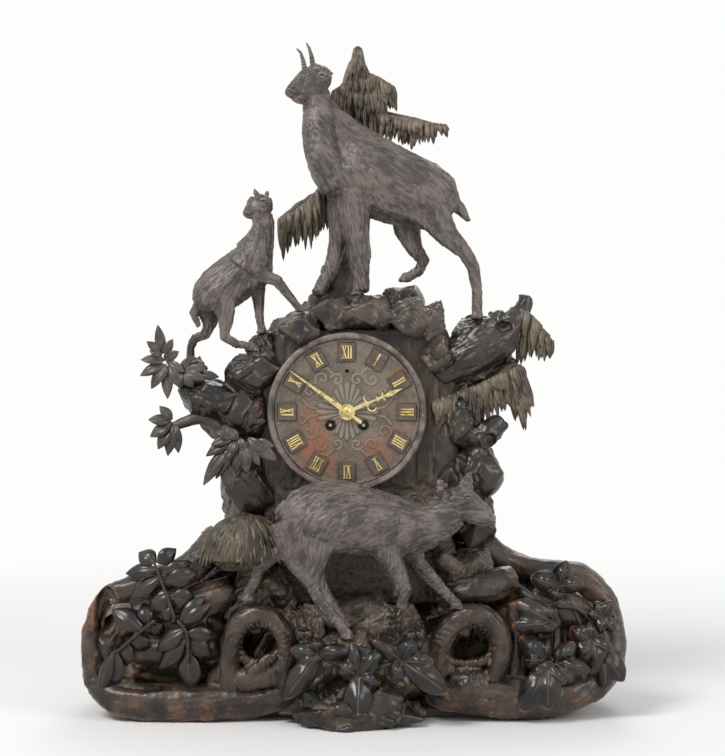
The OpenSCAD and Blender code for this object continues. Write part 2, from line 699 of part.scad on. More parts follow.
module fir_left_body() translate(top_shift) {
    limb([[-2, 24, 516, 5, 5], [-32, 16, 536, 5, 5], [-56, 2, 528, 4, 4], [-72, -8, 512, 3, 3]], 5);
    bough([-42, 4, 534], -6, 50, 4, 141, 60, [0.2, -1, 0.2]);
    bough([-64, -7, 522], -14, 42, 4, 142, 60, [0.2, -1, 0.2]);
}

module fir_bough_left() color(linden) difference() {
    fir_left_body();
    fir_trunk();
    rocks_top_body();
}

module fir_right_body() translate(right_shift) {
    limb([[136, -20, 378, 9, 9], [156, -18, 398, 7, 7], [169, -16, 412, 4, 4], [173, -14, 424, 2, 2]], 6);
    limb([[158, -18, 396, 4, 4], [176, -16, 398, 4, 4], [190, -16, 392, 3, 3]], 5);
    bough([170, -18, 418], -4, 48, 4, 151, 100);
    bough([186, -18, 397], 8, 42, 4, 152, 90);
    limb([[112, -22, 290, 10, 10], [130, -30, 322, 9, 9], [154, -28, 344, 6, 6], [172, -26, 350, 3, 3]], 6);
    bough([170, -30, 348], 0, 52, 4, 153, 80);
    bough([146, -33, 340], -12, 50, 4, 154, 90);
    bough([128, -36, 312], -4, 40, 4, 155, 70);
}

module fir_trees_right() color(linden) difference() {
    fir_right_body();
    rocks_right_body();
    trunk_solid();
    bezel_space();
}

module oak_left_body() translate(left_shift) {
    limb([[-112, -20, 240, 10, 12], [-130, -24, 274, 9, 10], [-142, -28, 293, 8, 8], [-160, -30, 298, 7, 7],
          [-186, -34, 288, 4, 4]], 6);
    limb([[-136, -16, 280, 8, 9], [-160, -14, 306, 7, 8], [-172, -20, 330, 6, 7], [-181, -31, 348, 4, 4]], 6);
    limb([[-181, -31, 346, 3, 3], [-192, -33, 366, 2, 2]], 5);
    limb([[-181, -34, 348, 3, 3], [-158, -40, 352, 2, 2]], 5);
    leaf_bunch([-181, -33, 346], 30, 6, 161);
    leaf_bunch([-191, -34, 364], 24, 5, 162);
    leaf_bunch([-159, -40, 352], 20, 5, 163);
    leaf_bunch([-187, -35, 288], 29, 6, 164);
}

module oak_branch_left() color(linden) difference() {
    oak_left_body();
    rocks_left_body();
    kid_body();
    trunk_solid();
}

module oak_centre_body() translate(left_shift) {
    limb([[-128, -30, 288, 7, 7], [-124, -46, 276, 6, 6], [-118, -62, 266, 4, 4]], 6);
    limb([[-118, -62, 266, 3, 3], [-104, -64, 262, 3, 3]], 5);
    leaf_bunch([-119, -64, 266], 34, 7, 171);
    leaf_bunch([-102, -67, 258], 25, 6, 172);
}

module oak_spray_centre() color(linden) difference() {
    oak_centre_body();
    rocks_left_body();
    oak_left_body();
    trunk_solid();
    bezel_space();
}

// A spray of paired leaves along a stem
module spray(rows, length, pairs, normal = [0, -1, 0.25]) {
    limb(rows, 5);
    run = smooth(rows, 4);
    last = len(run) - 1;
    for (i = [0 : pairs - 1]) {
        k = round(last * (0.15 + 0.8 * i / pairs));
        way = heading(run, k);
        side = cross(unit(normal), way);
        for (turn = [-1, 1])
            leaf(place(run[k]), way * 0.75 + turn * side, normal, length * (1 - 0.06 * i), 0.46 * length, 3);
    }
    leaf(place(run[last]), heading(run, last), normal, length, 0.5 * length, 3);
}

module sprays_left_body() scale([base_stretch, 1, 1]) {
    spray([[-176, -66, 100, 3, 3], [-184, -64, 124, 3, 3], [-196, -54, 152, 2.5, 2.5]], 34, 3);
    spray([[-176, -68, 102, 3, 3], [-200, -66, 90, 3, 3], [-236, -58, 68, 2.5, 2.5]], 30, 2);
    spray([[-176, -70, 100, 3, 3], [-168, -74, 80, 3, 3], [-164, -76, 58, 2.5, 2.5]], 32, 2);
    limb([[-176, -30, 96, 6, 6], [-176, -56, 99, 5, 5], [-176, -69, 101, 3, 3]], 5, 1, [1, 0, 0]);
}

module leaf_sprays_left() color(linden) difference() {
    sprays_left_body();
    root_left_body();
    mound_body();
}

module ivy_front_body() {
    ivy_leaf([-33, -106, 70], [-0.55, -0.3, -1], [0, -1, 0.35], 46);
    ivy_leaf([8, -112, 58], [0, -0.25, -1], [0, -1, 0.35], 44);
    ivy_leaf([48, -106, 66], [0.6, -0.3, -1], [0, -1, 0.35], 44);
    ivy_leaf([-50, -104, 86], [-0.8, 0, -0.5], [0, -1, 0.4], 24);
    ivy_leaf([62, -104, 82], [0.8, 0, -0.4], [0, -1, 0.4], 24);
    limb([[-52, -103, 88, 3.5, 3.5], [-33, -105, 72, 4, 4], [8, -111, 60, 4, 4], [48, -105, 68, 4, 4],
          [63, -103, 84, 3.5, 3.5]], 5);
}

module ivy_front() color(linden) difference() {
    ivy_front_body();
    below_floor();
    mound_body();
    ground_body();
    loop_body(-91 * base_stretch);
    mirror([1, 0, 0]) loop_body(-110 * base_stretch);
    front_foot_rock();
    lower_body();
}

module ivy_right_body() scale([base_stretch, 1, 1]) {
    limb([[132, -30, 148, 7, 7], [150, -52, 140, 5, 5], [172, -66, 124, 4, 4], [192, -72, 100, 4, 4], [184, -77, 72, 4, 4],
          [184, -79, 48, 3, 3]], 5);
    limb([[172, -66, 124, 3.5, 3.5], [210, -68, 130, 3, 3]], 4);
    limb([[184, -68, 112, 3.5, 3.5], [216, -62, 110, 3, 3], [238, -54, 106, 3, 3]], 4);
    limb([[188, -72, 94, 3.5, 3.5], [216, -72, 80, 3, 3]], 4);
    ivy_leaf([200, -71, 127], [0.3, -0.1, 1], [0, -1, 0.5], 34);
    ivy_leaf([184, -73, 104], [-1, -0.1, -0.1], [0, -1, 0.3], 36);
    ivy_leaf([183, -79, 76], [-0.9, -0.1, -0.5], [0, -1, 0.3], 32);
    ivy_leaf([184, -80, 50], [-0.1, -0.2, -1], [0, -1, 0.3], 36);
    ivy_leaf([212, -73, 80], [0.6, -0.1, -0.9], [0, -1, 0.2], 36);
    ivy_leaf([236, -56, 105], [0.9, 0.3, -0.1], [0.2, -1, 0.4], 34);
}

module ivy_right() color(linden) difference() {
    ivy_right_body();
    below_floor();
    mirror([1, 0, 0]) root_left_body();
    mound_body();
    ground_body();
    rocks_right_body();
}

// Dial

module dial_disc() color(dial_wood) difference() {
    rod([0, 0], dial_r, face_y, front_y);
    rod([0, 0], centre_hole_r, face_y - 1, front_y + 1);
    for (side = [-1, 1])
        rod([side * winding_x, -winding_z], winding_hole_r, face_y - 1, front_y + 1);
    rod([0, regulator_up], regulator_hole_r, face_y - 1, front_y + 1);
}

regulator_up = 41;
bezel_gap = 0.2;

module dial_bezel() color(linden_fur) on_arbor([0, 0], front_y) rotate_extrude($fn = 96) {
    inner = dial_r + bezel_gap;
    wide = bezel_r - inner;
    tall = dial_t + bezel_rise;
    polygon([
        [inner, 0], [bezel_r, 0], [bezel_r, 0.72 * tall],
        for (a = [0 : 15 : 90]) [bezel_r - 0.35 * wide * (1 - cos(a)), 0.8 * tall + 0.2 * tall * sin(a)],
        [inner + 0.3 * wide, tall * 0.96], [inner, 0.8 * tall]
    ]);
}

module round_the_dial(i, r, back) on_arbor([0, 0], back) rotate(-30 * i) translate([0, r, 0]) children();

module numeral_plaques() color(dial_wood) for (i = [1 : 12])
    round_the_dial(i, plaque_ring_r, face_y) linear_extrude(plaque_t) square([plaque_w, plaque_h], center = true);

function roman(i) =
    ["I", "II", "III", "IIII", "V", "VI", "VII", "VIII", "IX", "X", "XI", "XII"][i - 1];
function letter_w(c) = c == "I" ? 2.6 : c == "V" ? 5.2 : 5.4;
function letters_w(word, n) = n == 0 ? 0 : letter_w(word[n - 1]) + letters_w(word, n - 1);

module slanted(from_x, to_x, h, w) polygon([
    [from_x - w / 2, -h / 2], [from_x + w / 2, -h / 2], [to_x + w / 2, h / 2], [to_x - w / 2, h / 2]
]);

module numeral_shape(i) {
    word = roman(i);
    full = letters_w(word, len(word));
    squeeze = min(1, (plaque_w - 4) / full);
    h = numeral_h;
    scale([squeeze, 1]) for (k = [0 : len(word) - 1]) {
        x = letters_w(word, k) + letter_w(word[k]) / 2 - full / 2;
        translate([x, 0]) {
            if (word[k] == "I") slanted(0, 0, h, stroke_w);
            if (word[k] == "V") {
                slanted(-0.2, -1.7, h, stroke_w);
                slanted(0.2, 1.7, h, 0.6 * stroke_w);
            }
            if (word[k] == "X") {
                slanted(1.7, -1.7, h, stroke_w);
                slanted(-1.7, 1.7, h, 0.6 * stroke_w);
            }
        }
    }
    for (end = [-1, 1])
        translate([0, end * (h / 2 - 0.35)]) square([full * squeeze + 0.6, 0.7], center = true);
}

module numerals() color(brass) for (i = [1 : 12])
    round_the_dial(i, plaque_ring_r, face_y - plaque_t) linear_extrude(numeral_t) numeral_shape(i);

module winding_bushes() color("#1d1a18") for (side = [-1, 1])
    on_arbor([side * winding_x, -winding_z], face_y + 2) difference() {
        cylinder(r = winding_hole_r - 0.2, h = 2.5, $fn = 32);
        translate([0, 0, -1]) cylinder(r = winding_hole_r - 1.2, h = 5, $fn = 32);
    }

// Hands and motion work

hour_hand_y = face_y - plaque_t - numeral_t - 0.7;
minute_hand_y = hour_hand_y - hand_t - 1.6;
nut_y = minute_hand_y - hand_t - 0.2;
cannon_r = centre_r + running_gap + 0.6;
hour_pipe_r = cannon_r + running_gap + 0.7;
motion_module = 0.5;
cannon_teeth = 10;
minute_teeth = 30;
minute_leaves = 8;
hour_teeth = 32;
motion_distance = motion_module * (cannon_teeth + minute_teeth) / 2;
stud_at = [0, motion_distance];
stud_r = 1;
cannon_y = front_plate_y - 4;
hour_wheel_y = front_plate_y - 7;

function gear_points(count, m) = [
    for (i = [0 : count - 1], q = [[-0.2, -1.05], [-0.08, 0.85], [0.08, 0.85], [0.2, -1.05]])
        let (a = 360 / count * (i + q[0]), r = m * (count / 2 + q[1]))
        [r * cos(a), r * sin(a)]
];

// A toothed disc that sits round an arbor, with its back at the given depth
module gear(p, count, m, back, t, turn, hole, arms = 0) {
    rim = m * (count / 2 - 1.15) - 1.6;
    hub = hole + 2;
    on_arbor(p, back) rotate(turn) linear_extrude(t) difference() {
        polygon(gear_points(count, m));
        circle(r = (hole + 0.03) / cos(15), $fn = 12);
        if (arms > 0) for (i = [0 : arms - 1]) rotate(360 * i / arms) polygon([
            for (a = [10 : 12 : 360 / arms - 10]) rim * [cos(a), sin(a)],
            (hub) * [cos(360 / arms - 22), sin(360 / arms - 22)], hub * [cos(22), sin(22)]
        ]);
    }
}

// The turn at which a gear's tooth points from p to q, and at which a gear's gap does
function tooth_to(p, q) = atan2(q[1] - p[1], q[0] - p[0]);
function gap_to(p, q, count) = tooth_to(p, q) + 180 / count;

module pierced_hub(r, hole) difference() {
    circle(r = r, $fn = 48);
    circle(r = hole, $fn = 48);
}

module minute_hand() color(brass) on_arbor([0, 0], minute_hand_y) linear_extrude(hand_t) difference() {
    rotate(-minute_at) union() {
        circle(r = 0.6 * hub_r, $fn = 48);
        polygon([[0.36 * minute_w, -minute_tail], [0.24 * minute_w, 0], [0.5 * minute_w, 0.12 * minute_l],
                 [0.3, minute_l], [-0.3, minute_l], [-0.5 * minute_w, 0.12 * minute_l], [-0.24 * minute_w, 0],
                 [-0.36 * minute_w, -minute_tail]]);
    }
    circle(r = cannon_r + running_gap / 2, $fn = 48);
}

// A curl of the hour hand: an arc of flat bar
module curl(at, r, from, to, w) translate(at) polygon([
    for (a = [from : 15 : to]) (r + w / 2) * [cos(a), sin(a)],
    for (a = [to : -15 : from]) (r - w / 2) * [cos(a), sin(a)]
]);

module hour_hand() color(brass) on_arbor([0, 0], hour_hand_y) linear_extrude(hand_t) difference() {
    rotate(-hour_at) union() {
        circle(r = hub_r, $fn = 48);
        polygon([[1.6, 0], [1.8, 0.34 * hour_l], [0.8, 0.42 * hour_l], [0.8, 0.66 * hour_l], [2.6, 0.8 * hour_l],
                 [0.2, hour_l], [-0.2, hour_l], [-2.6, 0.8 * hour_l], [-0.8, 0.66 * hour_l], [-0.8, 0.42 * hour_l],
                 [-1.8, 0.34 * hour_l], [-1.6, 0]]);
        for (side = [-1, 1]) {
            curl([side * 4.6, 0.42 * hour_l], 4.4, side > 0 ? 150 : -150, side > 0 ? 420 : 30, 1.4);
            curl([side * 4.2, 0.6 * hour_l], 3.9, side > 0 ? 90 : -60, side > 0 ? 240 : 90, 1.4);
        }
    }
    circle(r = hour_pipe_r + 0.02, $fn = 48);
}

module hand_nut() color(brass) on_arbor([0, 0], nut_y) difference() {
    rotate_extrude($fn = 48) polygon([[0, 0], [0.58 * hub_r, 0], [0.58 * hub_r, 1], [0.3 * hub_r, 2.2], [0, 2.4]]);
    translate([0, 0, -1]) cylinder(r = centre_r + running_gap, h = 6, $fn = 24);
}

module cannon_pinion() color(brass) {
    difference() {
        rod([0, 0], cannon_r, minute_hand_y - hand_t, front_plate_y - 0.3);
        rod([0, 0], centre_r + running_gap, minute_hand_y - 10, front_plate_y + 1);
    }
    gear([0, 0], cannon_teeth, motion_module, cannon_y + 2.5, 2.5, tooth_to([0, 0], stud_at), cannon_r);
}

module minute_wheel() color(brass) {
    gear(stud_at, minute_teeth, motion_module, cannon_y + 1.8, 1.2, gap_to(stud_at, [0, 0], minute_teeth), stud_r);
    gear(stud_at, minute_leaves, motion_module, hour_wheel_y + 2.2, 2.6,
         tooth_to(stud_at, [0, 0]), stud_r);
}

module hour_wheel() color(brass) {
    difference() {
        rod([0, 0], hour_pipe_r, hour_hand_y - hand_t, hour_wheel_y + 1.2);
        rod([0, 0], cannon_r + running_gap, hour_hand_y - 10, hour_wheel_y + 3);
    }
    gear([0, 0], hour_teeth, motion_module, hour_wheel_y + 1.2, 1.2,
         gap_to([0, 0], stud_at, hour_teeth), hour_pipe_r);
}

// Frame of the movement

function meet(a, ra, b, rb, side) =
    let (d = b - a, l = norm(d), x = (l * l + ra * ra - rb * rb) / (2 * l), h = sqrt(ra * ra - x * x), u = d / l)
    a + x * u + side * h * [-u[1], u[0]];

barrel_teeth = 80;
barrel_module = 0.4;
inter_leaves = 10;
inter_teeth = 60;
centre_leaves = 10;
centre_teeth = 84;
fine_module = 0.3;
third_leaves = 7;
third_teeth = 80;
escape_leaves = 7;
escape_teeth = 30;
escape_r = 9;
pin_leaves = 8;
pin_teeth = 56;
pin_module = 0.35;
pin_count = 12;
warning_leaves = 7;
warning_teeth = 50;
fly_leaves = 7;

going_at = [winding_x, -winding_z];
strike_at = [-winding_x, -winding_z];
barrel_reach = barrel_module * (barrel_teeth + inter_leaves) / 2;
centre_reach = barrel_module * (inter_teeth + centre_leaves) / 2;
inter_at = meet(going_at, barrel_reach, [0, 0], centre_reach, -1);
strike_inter_at = meet(strike_at, barrel_reach, [0, 0], centre_reach, 1);
third_at = fine_module * (centre_teeth + third_leaves) / 2 * [cos(80), sin(80)];
escape_reach = fine_module * (third_teeth + escape_leaves) / 2;
escape_at = [0, third_at[1] + sqrt(escape_reach * escape_reach - third_at[0] * third_at[0])];
pin_at = strike_inter_at + barrel_module * (inter_teeth + pin_leaves) / 2 * [cos(120), sin(120)];
warning_at = pin_at + pin_module * (pin_teeth + warning_leaves) / 2 * [cos(50), sin(50)];
fly_at = warning_at + fine_module * (warning_teeth + fly_leaves) / 2 * [cos(140), sin(140)];
hammer_at = [-34, 4];

// The anchor spans six and a half teeth, and swings a little to each side
pallet_half = 6.5 * 360 / escape_teeth / 2;
anchor_at = escape_at + [0, escape_r / cos(pallet_half)];
train_arbors = [inter_at, third_at, escape_at, strike_inter_at, pin_at, warning_at, fly_at];
pillar_at = [for (a = [-72, 28, 152, 252]) (plate_r - 5) * [cos(a), sin(a)]];

module pivot_holes(anchor_hole_r) {
    for (p = train_arbors) translate(p) circle(r = pivot_r + running_gap, $fn = 24);
    for (p = [going_at, strike_at]) translate(p) circle(r = winding_r + running_gap, $fn = 24);
    circle(r = centre_r + running_gap, $fn = 24);
    translate(hammer_at) circle(r = arbor_r + 0.3 + running_gap, $fn = 24);
    translate(anchor_at) circle(r = anchor_hole_r + running_gap, $fn = 24);
}

module front_plate() color(brass) {
    on_arbor([0, 0], inner_front) linear_extrude(plate_t) difference() {
        circle(r = plate_r, $fn = 96);
        pivot_holes(pivot_r);
    }
    rod(stud_at, stud_r, hour_wheel_y - 1.6, front_plate_y);
    for (side = [-1, 1]) rod(click_pivot(side), click_stud_r, ratchet_y - 2.4, front_plate_y);
}

module back_plate() color(brass) {
    on_arbor([0, 0], back_plate_y) linear_extrude(plate_t) difference() {
        circle(r = plate_r, $fn = 96);
        pivot_holes(arbor_r);
    }
    for (p = pillar_at) rod(p, pillar_r, inner_front, inner_back);
}

strap_w = 12;

module movement_straps() color(brass) for (side = [0, 180])
    translate([dial_x, 0, dial_z]) rotate([0, side, 0]) {
        reach = sqrt(bore_r * bore_r - strap_w * strap_w / 4) - 0.3;
        difference() {
            union() {
                translate([plate_r - 6, back_plate_y + 0.1, -strap_w / 2]) cube([reach - plate_r + 6, 1.6, strap_w]);
                translate([reach - 1.6, back_plate_y + 0.1, -strap_w / 2]) cube([1.6, 22, strap_w]);
            }
            translate([reach - 4, back_plate_y + 14, 0]) rotate([0, 90, 0]) cylinder(r = 1.6, h = 8, $fn = 24);
        }
        translate([plate_r - 3.5, back_plate_y + 3.4, 0]) rotate([90, 0, 0]) cylinder(r = 2, h = 1.4, $fn = 24);
    }

// A train arbor between the plates, with its two pivots
module arbor(p, r = arbor_r) {
    rod(p, r, inner_front + 0.2, inner_back - 0.2);
    rod(p, pivot_r, front_plate_y, back_plate_y);
}

// Depths of the wheels behind the front plate
barrel_y = inner_front + 5.5;
drum_y = barrel_y + 0.3;
inter_y = inner_front + 25;
strike_inter_y = inner_front + 28.2;
centre_y = inner_front + 31;
pin_y = inner_front + 33.7;
third_y = inner_front + 35.2;
escape_y = inner_front + 39;
warning_y = inner_front + 17;
fly_y = inner_front + 13;

module barrel(p, other, count) {
    gear(p, barrel_teeth, barrel_module, barrel_y, 1.6, tooth_to(p, other), winding_r + running_gap + 0.4);
    difference() {
        rod(p, drum_r, drum_y, drum_y + drum_l);
        rod(p, winding_r + running_gap, drum_y - 1, drum_y + drum_l + 1);
    }
}

module going_barrel() color(brass) barrel(going_at, inter_at);
module strike_barrel() color(brass) barrel(strike_at, strike_inter_at);

ratchet_teeth = 12;
ratchet_y = front_plate_y - 0.8;
click_reach = 9;

module ratchet(p) on_arbor(p, ratchet_y) linear_extrude(1.4) difference() {
    polygon([
        for (i = [0 : ratchet_teeth - 1])
            let (a = 360 / ratchet_teeth * i)
            each [5.4 * [cos(a), sin(a)], 4.2 * [cos(a + 3), sin(a + 3)]]
    ]);
    circle(r = (winding_r + 0.03) / cos(15), $fn = 12);
}

module winding_arbor(p) {
    rod(p, winding_r, front_plate_y - 3, back_plate_y);
    translate([dial_x + p[0] - 0.7 * winding_r, face_y - 0.5, dial_z + p[1] - 0.7 * winding_r])
        cube([1.4 * winding_r, front_plate_y - 3 - face_y + 0.5, 1.4 * winding_r]);
    ratchet(p);
}

module going_arbor() color(steel) winding_arbor(going_at);
module strike_arbor() color(steel) winding_arbor(strike_at);

click_stud_r = 1;
function click_pivot(side) = [side * winding_x, -winding_z] + click_reach * [side * cos(35), -sin(35)];

click_nose = [[-1, -2], [1.6, 1.6], [-1, 4.4], [-2.1, 3.2]];

// A click on its stud, with its nose just over the teeth of the ratchet
module click(side) {
    on_arbor(click_pivot(side), ratchet_y) difference() {
        linear_extrude(1.4) union() {
            circle(r = 2.2, $fn = 32);
            polygon(side > 0 ? click_nose : [for (i = [3 : -1 : 0]) [-click_nose[i][0], click_nose[i][1]]]);
        }
        translate([0, 0, -1]) cylinder(r = click_stud_r + running_gap, h = 4, $fn = 24);
    }
}

module going_click() color(steel) click(1);
module strike_click() color(steel) click(-1);

module going_intermediate() color(brass) {
    arbor(inter_at);
    gear(inter_at, inter_leaves, barrel_module, barrel_y + 0.6, 2.6, gap_to(inter_at, going_at, inter_leaves), arbor_r);
    gear(inter_at, inter_teeth, barrel_module, inter_y, wheel_t, tooth_to(inter_at, [0, 0]), arbor_r, 5);
}

module centre_wheel() color(brass) {
    rod([0, 0], centre_r, nut_y - 2.2, back_plate_y);
    gear([0, 0], centre_leaves, barrel_module, inter_y + 0.6, 2.4, gap_to([0, 0], inter_at, centre_leaves), centre_r);
    gear([0, 0], centre_teeth, fine_module, centre_y, wheel_t, tooth_to([0, 0], third_at), centre_r, 5);
}

module third_wheel() color(brass) {
    arbor(third_at);
    gear(third_at, third_leaves, fine_module, centre_y + 0.6, 2.4, gap_to(third_at, [0, 0], third_leaves), arbor_r);
    gear(third_at, third_teeth, fine_module, third_y, wheel_t, tooth_to(third_at, escape_at), arbor_r, 5);
}

module escape_wheel() color(brass) {
    arbor(escape_at);
    gear(escape_at, escape_leaves, fine_module, third_y + 0.6, 2.4, gap_to(escape_at, third_at, escape_leaves), arbor_r);
    on_arbor(escape_at, escape_y) linear_extrude(1) difference() {
        polygon([
            for (i = [0 : escape_teeth - 1])
                let (a = 360 / escape_teeth * i)
                each [
                    7.4 * [cos(a - 2.4), sin(a - 2.4)], escape_r * [cos(a - 0.5), sin(a - 0.5)],
                    escape_r * [cos(a + 0.5), sin(a + 0.5)], 7.4 * [cos(a + 1.6), sin(a + 1.6)]
                ]
        ]);
        circle(r = (arbor_r + 0.03) / cos(15), $fn = 12);
    }
}

// The pallets clear the tips of the wheel by this much in the middle of the swing
pallet_clear = 0.42;
crutch_y = back_plate_y + 6.5;
rod_y = back_plate_y + 11;

module anchor() color(steel) {
    rod(anchor_at, arbor_r, inner_front + 0.2, crutch_y);
    rod(anchor_at, pivot_r, front_plate_y, inner_front + 1);
    drop = anchor_at[1] - escape_at[1];
    on_arbor(anchor_at, escape_y + 0.4) linear_extrude(1.8) difference() {
        union() {
            circle(r = 2.4, $fn = 12);
            for (side = [-1, 1]) {
                nib = [side * escape_r * sin(pallet_half), escape_r * cos(pallet_half) - drop];
                out = [side * sin(pallet_half), cos(pallet_half)];
                across = [-out[1], out[0]];
                polygon([[0, 1.6], nib + 3.4 * out, nib + 1.4 * out + side * 0.3 * across, [0, -1.6]]);
                polygon([
                    nib + pallet_clear * out - 0.25 * across, nib + 3 * out - 0.5 * across,
                    nib + 3 * out + 0.5 * across, nib + pallet_clear * out + 0.25 * across
                ]);
            }
        }
        circle(r = (arbor_r + 0.03) / cos(15), $fn = 12);
    }
    on_arbor(anchor_at, crutch_y) linear_extrude(1) difference() {
        union() {
            circle(r = 2.2, $fn = 12);
            translate([-0.8, -30]) square([1.6, 29]);
            translate([-3, -31]) square([6, 2.4]);
        }
        circle(r = (arbor_r + 0.03) / cos(15), $fn = 12);
    }
    for (side = [-1, 1])
        translate([dial_x + side * (rod_r + 0.9) - 0.6, crutch_y, dial_z + anchor_at[1] - 31])
            cube([1.2, rod_y + 1.5 - crutch_y, 2.4]);
}

module suspension_cock() color(brass) {
    difference() {
        union() {
            on_arbor([0, 0], back_plate_y + 4.5) linear_extrude(1.6) translate([-12, anchor_at[1] - 5]) square([24, 9.5]);
            for (side = [-1, 1])
                on_arbor([0, 0], back_plate_y + 3) linear_extrude(2.9)
                    translate([side * 10 - 2, anchor_at[1] - 5]) square([4, 7]);
            translate([dial_x - 3, back_plate_y + 4, dial_z + anchor_at[1] + 3.4]) cube([6, rod_y - back_plate_y, 4]);
        }
        rod(anchor_at, arbor_r + running_gap, inner_back, crutch_y + 1);
    }
    translate([dial_x - 0.15, rod_y - 2, dial_z + anchor_at[1]]) cube([0.3, 4, 3.6]);
}

// The pendulum length gives the beats that the going train needs
beats_per_hour = 2 * escape_teeth * (centre_teeth / third_leaves) * (third_teeth / escape_leaves);
period = 2 * 3600 / beats_per_hour;
pendulum_l = 9806.65 * pow(period / (2 * PI), 2);

module pendulum() color(brass) {
    bob_z = anchor_at[1] - pendulum_l;
    foot = dial_z + bob_z - bob_r - 8;
    translate([dial_x - 1.6, rod_y - 2, dial_z + anchor_at[1] - 5.75]) cube([3.2, 4, 5.6]);
    translate([dial_x, rod_y, foot]) cylinder(r = rod_r, h = dial_z + anchor_at[1] - 5 - foot, $fn = 12);
    difference() {
        on_arbor([0, bob_z], rod_y) rotate_extrude($fn = 72) polygon([
            [0, -bob_t / 2], [0.3 * bob_r, -bob_t / 2], [0.7 * bob_r, -0.38 * bob_t], [0.95 * bob_r, -0.16 * bob_t],
            [bob_r, 0], [0.95 * bob_r, 0.16 * bob_t], [0.7 * bob_r, 0.38 * bob_t], [0.3 * bob_r, bob_t / 2], [0, bob_t / 2]
        ]);
        translate([dial_x, rod_y, foot - 1]) cylinder(r = rod_r + running_gap, h = 3 * bob_r, $fn = 12);
    }
    translate([dial_x, rod_y, dial_z + bob_z - bob_r - 3.1]) difference() {
        cylinder(r = 3.4, h = 3, $fn = 32);
        translate([0, 0, -1]) cylinder(r = rod_r + running_gap, h = 6, $fn = 12);
    }
}

// Strike train

count_y = back_plate_y + 2.4;

// The count wheel has a gap after each hour's blows and one for each half hour
function blows_before(h) = h == 0 ? 0 : blows_before(h - 1) + h + 1;
module count_disc() difference() {
    polygon([for (a = [0 : 4 : 356]) 13 * [cos(a), sin(a)]]);
    circle(r = (pivot_r + 0.03) / cos(15), $fn = 12);
    for (h = [1 : 12])
        rotate(360 * blows_before(h) / 90) translate([11.4, -0.5]) square([4, 1]);
}

module strike_intermediate() color(brass) {
    arbor(strike_inter_at);
    rod(strike_inter_at, pivot_r, inner_back, count_y);
    gear(strike_inter_at, inter_leaves, barrel_module, barrel_y + 0.6, 2.6,
         gap_to(strike_inter_at, strike_at, inter_leaves), arbor_r);
    gear(strike_inter_at, inter_teeth, barrel_module, strike_inter_y, wheel_t,
         tooth_to(strike_inter_at, pin_at), arbor_r, 5);
    on_arbor(strike_inter_at, count_y) linear_extrude(1.2) count_disc();
}

pin_ring_r = 7.5;

module pin_wheel() color(brass) {
    arbor(pin_at);
    gear(pin_at, pin_leaves, barrel_module, strike_inter_y + 0.6, 2.4,
         gap_to(pin_at, strike_inter_at, pin_leaves), arbor_r);
    gear(pin_at, pin_teeth, pin_module, pin_y, wheel_t, tooth_to(pin_at, warning_at), arbor_r);
    for (i = [0 : pin_count - 1])
        rod(pin_at + pin_ring_r * [cos(360 / pin_count * i), sin(360 / pin_count * i)], 0.5, pin_y, pin_y + 2.6);
}

module warning_wheel() color(brass) {
    arbor(warning_at);
    gear(warning_at, warning_leaves, pin_module, pin_y + 0.6, 2.4,
         gap_to(warning_at, pin_at, warning_leaves), arbor_r);
    gear(warning_at, warning_teeth, fine_module, warning_y, wheel_t, tooth_to(warning_at, fly_at), arbor_r, 4);
    rod(warning_at + [5.4, 0], 0.4, warning_y - 3.2, warning_y - wheel_t);
}

module fly() color(brass) {
    arbor(fly_at);
    gear(fly_at, fly_leaves, fine_module, warning_y + 0.6, 2.4, gap_to(fly_at, warning_at, fly_leaves), arbor_r);
    on_arbor(fly_at, fly_y) linear_extrude(10) difference() {
        square([11, 0.5], center = true);
        circle(r = (arbor_r + 0.03) / cos(15), $fn = 12);
    }
}

bell_at = [0, 2];
bell_y = back_plate_y + 18;
hammer_r = 3.5;
hammer_rest_gap = 0.8;
head_at = bell_at + (bell_r + hammer_rest_gap + hammer_r) * [cos(135), sin(135)];
tail_y = pin_y + 1.9;

// A flat bar between two points, drawn from the front
module bar(from, to, w, back, t) {
    along = unit(to - from);
    side = [-along[1], along[0]] * w / 2;
    on_arbor([0, 0], back) linear_extrude(t) polygon([from - side, to - side, to + side, from + side]);
}

module hammer() color(steel) {
    pin_gap = 0.3;
    to_pins = unit(pin_at - hammer_at);
    tail_l = norm(pin_at - hammer_at) - pin_ring_r - 0.5 - pin_gap;
    rod(hammer_at, arbor_r + 0.3, front_plate_y, bell_y - 3);
    bar(hammer_at, hammer_at + tail_l * to_pins, 1.6, tail_y, 1.2);
    bar(hammer_at, head_at, 2.6, bell_y - 2, 1.6);
    rod(head_at, hammer_r, bell_y - 2, bell_y + 8);
}

module bell() color(bell_metal) {
    crown = bell_y + bell_h;
    on_arbor(bell_at, crown) rotate_extrude($fn = 72) polygon([
        [2.7, 0],
        for (a = [0 : 10 : 90]) [2.7 + (bell_r - 2.7) * sin(a), 0.75 * bell_h * (1 - cos(a))],
        [bell_r, bell_h],
        [bell_r - bell_t, bell_h],
        for (a = [90 : -10 : 0]) [2.7 + (bell_r - bell_t - 2.7) * sin(a), bell_t + (0.75 * bell_h - bell_t) * (1 - cos(a))]
    ]);
    foot_at = [20, -34];
    union() {
        rod(foot_at, 2, back_plate_y, crown + 2);
        bar(foot_at - 2 * unit(bell_at - foot_at), bell_at + 3 * unit(bell_at - foot_at), 4, crown + 2.1, 2);
        rod(bell_at, 2.5, crown - 5, crown + 1);
    }
    on_arbor(bell_at, crown - bell_t - 0.1) linear_extrude(2) difference() {
        circle(r = 4.6, $fn = 6);
        circle(r = 2.55, $fn = 24);
    }
}

// Rear door

